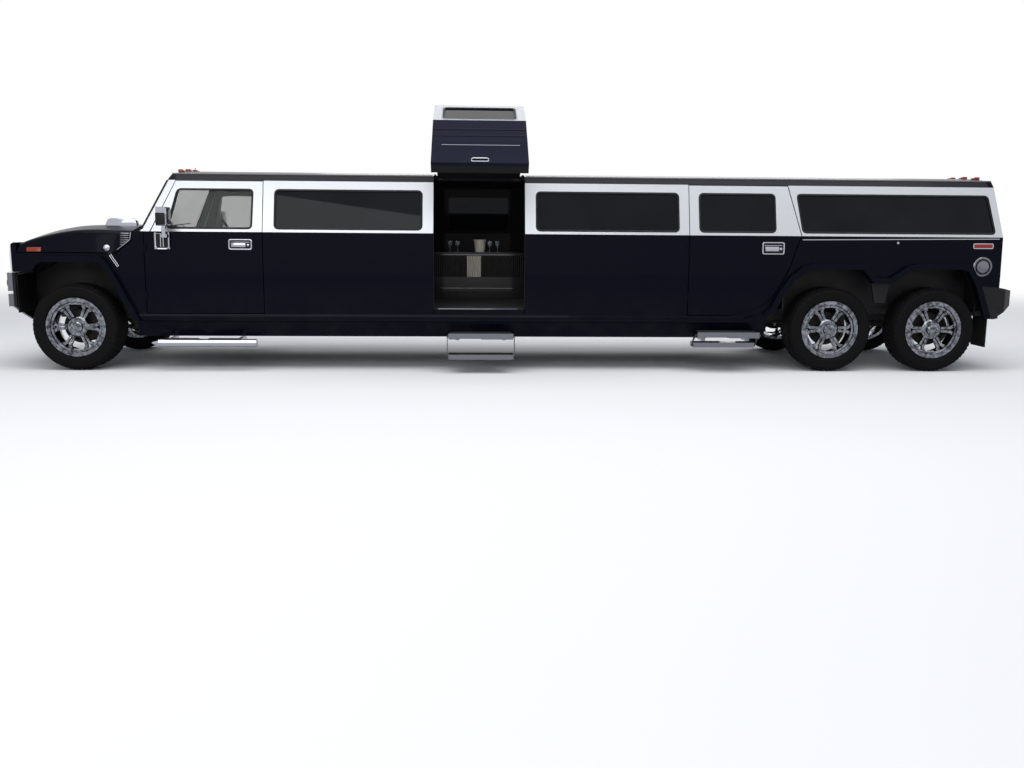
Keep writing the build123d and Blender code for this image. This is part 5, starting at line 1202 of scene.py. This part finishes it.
def make_pad(name, low, high, thick, replaced, channels=(), crown=0.34, turn=0.0):
    """Crowned leather pad between two corners, with pulled-in sides, sewn channels and a welt."""
    low, high = Vector(low), Vector(high)
    centre, half = (low + high) / 2, (high - low) / 2
    flat = [axis for axis in range(3) if axis != thick]
    pad = Piece()
    bmesh.ops.create_cube(pad.bm, size=2)
    bmesh.ops.subdivide_edges(pad.bm, edges=pad.bm.edges, cuts=PAD_CUTS, use_grid_fill=True)
    place = Matrix.Translation(centre) @ Matrix.Rotation(radians(turn), 4, "Y") @ Matrix.Diagonal((*half, 1))
    for vert in pad.bm.verts:
        vert.co = pad_point(vert.co, thick, flat, channels, crown, half)
    pad.bm.transform(place)
    loop = []
    for step in range(64):
        angle = 2 * pi * step / 64
        point = Vector((0, 0, 0))
        point[flat[0]], point[flat[1]] = cos(angle), sin(angle)
        point /= max(abs(point[flat[0]]), abs(point[flat[1]]))
        loop.append(place @ pad_point(point, thick, flat, (), crown, half))
    pad = pad.tube(loop, WELT_RADIUS, closed=True).done(name, "leather", replaces=[replaced], smooth=80)


def make_front_seats():
    """Driver's and passenger's seats on their bases."""
    for name, side in SIDES.items():
        y = side * FRONT_SEAT_Y
        make_pad(f"front_cushion_{name}", (1425, y - 245, 800), (1925, y + 245, 958), 2, "front_seats",
                 [(1, -0.56), (1, 0.56), (0, -0.1), (0, 0.4)])
        make_pad(f"front_back_{name}", (1880, y - 235, 950), (2008, y + 235, 1568), 0, "front_seats",
                 [(0, -0.58), (0, 0.58), (1, 0.1), (1, 0.5)], turn=10.9)
        make_pad(f"front_rest_{name}", (1984, y - 126, 1578), (2060, y + 126, 1782), 0, "front_seats", turn=5)
        base = Piece().block((1440, y - 215, 634), (1900, y + 215, 812)).rounded(14, 3)
        for step in (-60, 60):
            base.rod((1996, y + step, 1540), (2016, y + step, 1620), 7)
        base.done(f"front_seat_base_{name}", "cabin", replaces=["front_seats"])


# Low and high X, and low and high Y of the lounge's seat pads, and the same of its back pads
SOFA_SEATS = ((5004, 5562, 482, 792), (5566, 6124, 482, 792), (6128, 6686, 482, 792), (6700, 6992, 482, 792),
              (6700, 6992, -182, 476), (6700, 6992, -846, -188))
SOFA_BACKS = ((5004, 5562), (5566, 6124), (6128, 6686), (6690, 6986))
BENCH_BACKS = ((-848, -288), (-284, 284), (288, 848))


def make_lounge():
    """Lounge sofa along the right side and across the back, pad by pad."""
    channels = [(0, -0.5), (0, 0), (0, 0.5)]
    for index, (low, high, near, far) in enumerate(SOFA_SEATS):
        make_pad(f"sofa_seat_{index}", (low, near, 905), (high, far, 1062), 2, "lounge_sofa",
                 [(0, -0.34), (0, 0.34)], 0.28)
    for index, (low, high) in enumerate(SOFA_BACKS):
        make_pad(f"sofa_back_{index}", (low, 792, 1050), (high, 878, 1398), 1, "lounge_sofa", channels, 0.28)
    for index, (near, far) in enumerate(BENCH_BACKS):
        make_pad(f"bench_back_{index}", (6990, near, 1050), (7078, far, 1498), 0, "lounge_sofa",
                 channels, 0.28)
    plinth = [(5006, 878), (5006, 500), (6716, 500), (6716, -846), (7076, -846), (7076, 878)]
    plinth = Piece().prism(plinth, 634, 915, upright=True).rounded(6)
    plinth.done("sofa_plinth", "lacquer", replaces=["lounge_sofa"])
    line = [(5004, 499), (6715, 499), (6715, -846), (6711, -846), (6711, 495), (5004, 495)]
    Piece().prism(line, 880, 896, upright=True).done("sofa_line", "chrome")


# Stage

CAMERA_PLACE = (3998.0, -10738.0, 1422.0)
CAMERA_YAW, CAMERA_PITCH, CAMERA_ROLL = 2.41, 9.1, 0.43
FOCAL_PIXELS, PHOTO_WIDTH = 950.5, 1024.0
SENSOR = 36.0


def make_camera():
    """Camera where the photograph was taken from, as the fit of the wheels gave it."""
    yaw, pitch, roll = (radians(a) for a in (CAMERA_YAW, CAMERA_PITCH, CAMERA_ROLL))
    ahead, up = Vector((sin(yaw), cos(yaw), 0)), Vector((0, 0, 1))
    right = Vector((cos(yaw), -sin(yaw), 0))
    sight = ahead * cos(pitch) - up * sin(pitch)
    rise = up * cos(pitch) + ahead * sin(pitch)
    across = right * cos(roll) + rise * sin(roll)
    rise = rise * cos(roll) - right * sin(roll)
    data = bpy.data.cameras.new("camera")
    data.sensor_width = SENSOR
    data.lens = FOCAL_PIXELS / PHOTO_WIDTH * SENSOR
    data.clip_end = 400
    camera = bpy.data.objects.new("camera", data)
    axes = Matrix((across, rise, -sight)).transposed().to_4x4()
    camera.matrix_world = Matrix.Translation(DRAWN @ Vector(CAMERA_PLACE)) @ axes
    bpy.context.scene.collection.objects.link(camera)
    bpy.context.scene.camera = camera


# Place, aim, size and power of each lamp, in metres and watts
LIGHTS = {
    "sky": ((0, -3, 9), (0, 0, 1), (16, 8), 900),
    "side": ((-3, -11, 5), (0, 0, 1), (10, 5), 360),
    "back": ((2, 9, 6), (0, 0, 1.5), (12, 4), 400),
}


def make_stage(settings):
    """Floor, world, lamps and camera."""
    scene = bpy.context.scene
    floor_mesh = bpy.data.meshes.new("floor")
    bm = bmesh.new()
    bmesh.ops.create_grid(bm, x_segments=2, y_segments=2, size=120)
    bm.to_mesh(floor_mesh)
    bm.free()
    floor = bpy.data.objects.new("floor", floor_mesh)
    scene.collection.objects.link(floor)
    floor_mesh.materials.append(floor_finish("floor", tuple(settings.floor_color)))
    world = bpy.data.worlds.new("studio")
    scene.world = world
    world.use_nodes = True
    tree = world.node_tree
    tree.nodes.clear()
    light = add_node(tree, "Background", {"Color": (0.82, 0.88, 1.0, 1), "Strength": 0.45})
    white = add_node(tree, "Background", {"Color": (1, 1, 1, 1), "Strength": 1.0})
    mix = add_node(tree, "MixShader", {0: looking_ray(tree), 1: light.outputs[0], 2: white.outputs[0]})
    add_node(tree, "OutputWorld", {0: mix.outputs[0]})
    for name, (place, aim, size, power) in LIGHTS.items():
        data = bpy.data.lights.new(name, "AREA")
        data.shape = "RECTANGLE"
        data.size, data.size_y = size
        data.energy = power
        lamp = bpy.data.objects.new(name, data)
        lamp.location = place
        lamp.rotation_mode = "QUATERNION"
        lamp.rotation_quaternion = (Vector(aim) - Vector(place)).to_track_quat("-Z", "Y")
        scene.collection.objects.link(lamp)
    scene.view_settings.view_transform = "Standard"
    make_camera()


# Settings, operators and panel

class LimousineSettings(PropertyGroup):
    paint_color: FloatVectorProperty(
        name="Paint", description="Colour of the body paint", subtype="COLOR",
        default=(0.001, 0.0014, 0.0052), min=0, max=1)
    band_color: FloatVectorProperty(
        name="Band", description="Colour of the band round the windows", subtype="COLOR",
        default=(0.55, 0.57, 0.6), min=0, max=1)
    chrome_color: FloatVectorProperty(
        name="Plating", description="Colour of the bright metal", subtype="COLOR",
        default=(0.4, 0.42, 0.47), min=0, max=1)
    rubber_color: FloatVectorProperty(
        name="Tyres", description="Colour of the tyre rubber", subtype="COLOR",
        default=(0.004, 0.004, 0.0045), min=0, max=1)
    leather_color: FloatVectorProperty(
        name="Leather", description="Colour of the seats", subtype="COLOR",
        default=(0.009, 0.0085, 0.0085), min=0, max=1)
    dust_color: FloatVectorProperty(
        name="Dust", description="Colour of road dust", subtype="COLOR",
        default=(0.24, 0.22, 0.2), min=0, max=1)
    floor_color: FloatVectorProperty(
        name="Floor", description="Colour of the studio floor", subtype="COLOR",
        default=(0.8, 0.8, 0.8), min=0, max=1)
    gasket_width: FloatProperty(
        name="Gasket width", description="Width of the rubber round the windows in millimetres",
        default=20.0, min=5.0, max=60.0)


class LIMO_OT_finishes(Operator):
    """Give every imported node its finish"""
    bl_idname = "limo.finishes"
    bl_label = "Finishes"

    def execute(self, context):
        make_looks(context.scene.limousine)
        finish_nodes()
        return {"FINISHED"}


class LIMO_OT_wheels(Operator):
    """Add tyres with their tread and the wheels' fittings"""
    bl_idname = "limo.wheels"
    bl_label = "Wheels"

    def execute(self, context):
        for axle in AXLES:
            for side in SIDES:
                make_wheel(axle, side)
        return {"FINISHED"}


class LIMO_OT_gaskets(Operator):
    """Set the fixed panes and add the rubber round the side windows"""
    bl_idname = "limo.gaskets"
    bl_label = "Window glass and gaskets"

    def execute(self, context):
        make_fixed_panes()
        make_gaskets(context.scene.limousine)
        return {"FINISHED"}


class LIMO_OT_lamps(Operator):
    """Add the lamps' lenses"""
    bl_idname = "limo.lamps"
    bl_label = "Lamp lenses"

    def execute(self, context):
        make_lamp_lenses()
        return {"FINISHED"}


class LIMO_OT_front(Operator):
    """Add the trim of the hood, nose, windscreen and roof"""
    bl_idname = "limo.front"
    bl_label = "Front trim"

    def execute(self, context):
        make_hood_skin()
        make_hood_trim()
        make_nose_trim()
        make_screen_trim()
        return {"FINISHED"}


class LIMO_OT_doors(Operator):
    """Add door handles and mirrors"""
    bl_idname = "limo.doors"
    bl_label = "Handles and mirrors"

    def execute(self, context):
        make_handles()
        make_mirrors()
        return {"FINISHED"}


class LIMO_OT_doorway(Operator):
    """Add the doorway's threshold and the bar"""
    bl_idname = "limo.doorway"
    bl_label = "Doorway and bar"

    def execute(self, context):
        make_doorway()
        make_bar()
        return {"FINISHED"}


class LIMO_OT_jet_door(Operator):
    """Add the trim of the open jet door"""
    bl_idname = "limo.jet_door"
    bl_label = "Jet door trim"

    def execute(self, context):
        make_jet_trim()
        return {"FINISHED"}


class LIMO_OT_tail(Operator):
    """Add the trim of the tail"""
    bl_idname = "limo.tail"
    bl_label = "Tail trim"

    def execute(self, context):
        make_tail_sides()
        make_tailgate_trim()
        return {"FINISHED"}


class LIMO_OT_steps(Operator):
    """Add the steps' ribs and pads, and the brakes"""
    bl_idname = "limo.steps"
    bl_label = "Steps and brakes"

    def execute(self, context):
        make_step_trim()
        make_brakes()
        return {"FINISHED"}


class LIMO_OT_seats(Operator):
    """Add the padded seats"""
    bl_idname = "limo.seats"
    bl_label = "Seats"

    def execute(self, context):
        make_front_seats()
        make_lounge()
        return {"FINISHED"}


class LIMO_OT_stage(Operator):
    """Set the floor, the light and the camera"""
    bl_idname = "limo.stage"
    bl_label = "Stage"

    def execute(self, context):
        make_stage(context.scene.limousine)
        return {"FINISHED"}


OPERATORS = (LIMO_OT_finishes, LIMO_OT_wheels, LIMO_OT_gaskets, LIMO_OT_lamps, LIMO_OT_front, LIMO_OT_doors,
             LIMO_OT_doorway, LIMO_OT_jet_door, LIMO_OT_tail, LIMO_OT_steps, LIMO_OT_seats, LIMO_OT_stage)


class LIMO_PT_panel(Panel):
    bl_label = "Limousine"
    bl_idname = "LIMO_PT_panel"
    bl_space_type = "VIEW_3D"
    bl_region_type = "UI"
    bl_category = "Limousine"

    def draw(self, context):
        for name in LimousineSettings.__annotations__:
            self.layout.prop(context.scene.limousine, name)
        for operator in OPERATORS:
            self.layout.operator(operator.bl_idname)


CLASSES = (LimousineSettings, *OPERATORS, LIMO_PT_panel)


def register():
    """Adds the settings, operators and panel."""
    for cls in CLASSES:
        bpy.utils.register_class(cls)
    bpy.types.Scene.limousine = PointerProperty(type=LimousineSettings)


def unregister():
    """Takes them away again."""
    del bpy.types.Scene.limousine
    for cls in reversed(CLASSES):
        bpy.utils.unregister_class(cls)


def main():
    """Dresses the limousine."""
    register()
    for operator in OPERATORS:
        group, name = operator.bl_idname.split(".")
        getattr(getattr(bpy.ops, group), name)()


if __name__ == "__main__":
    main()
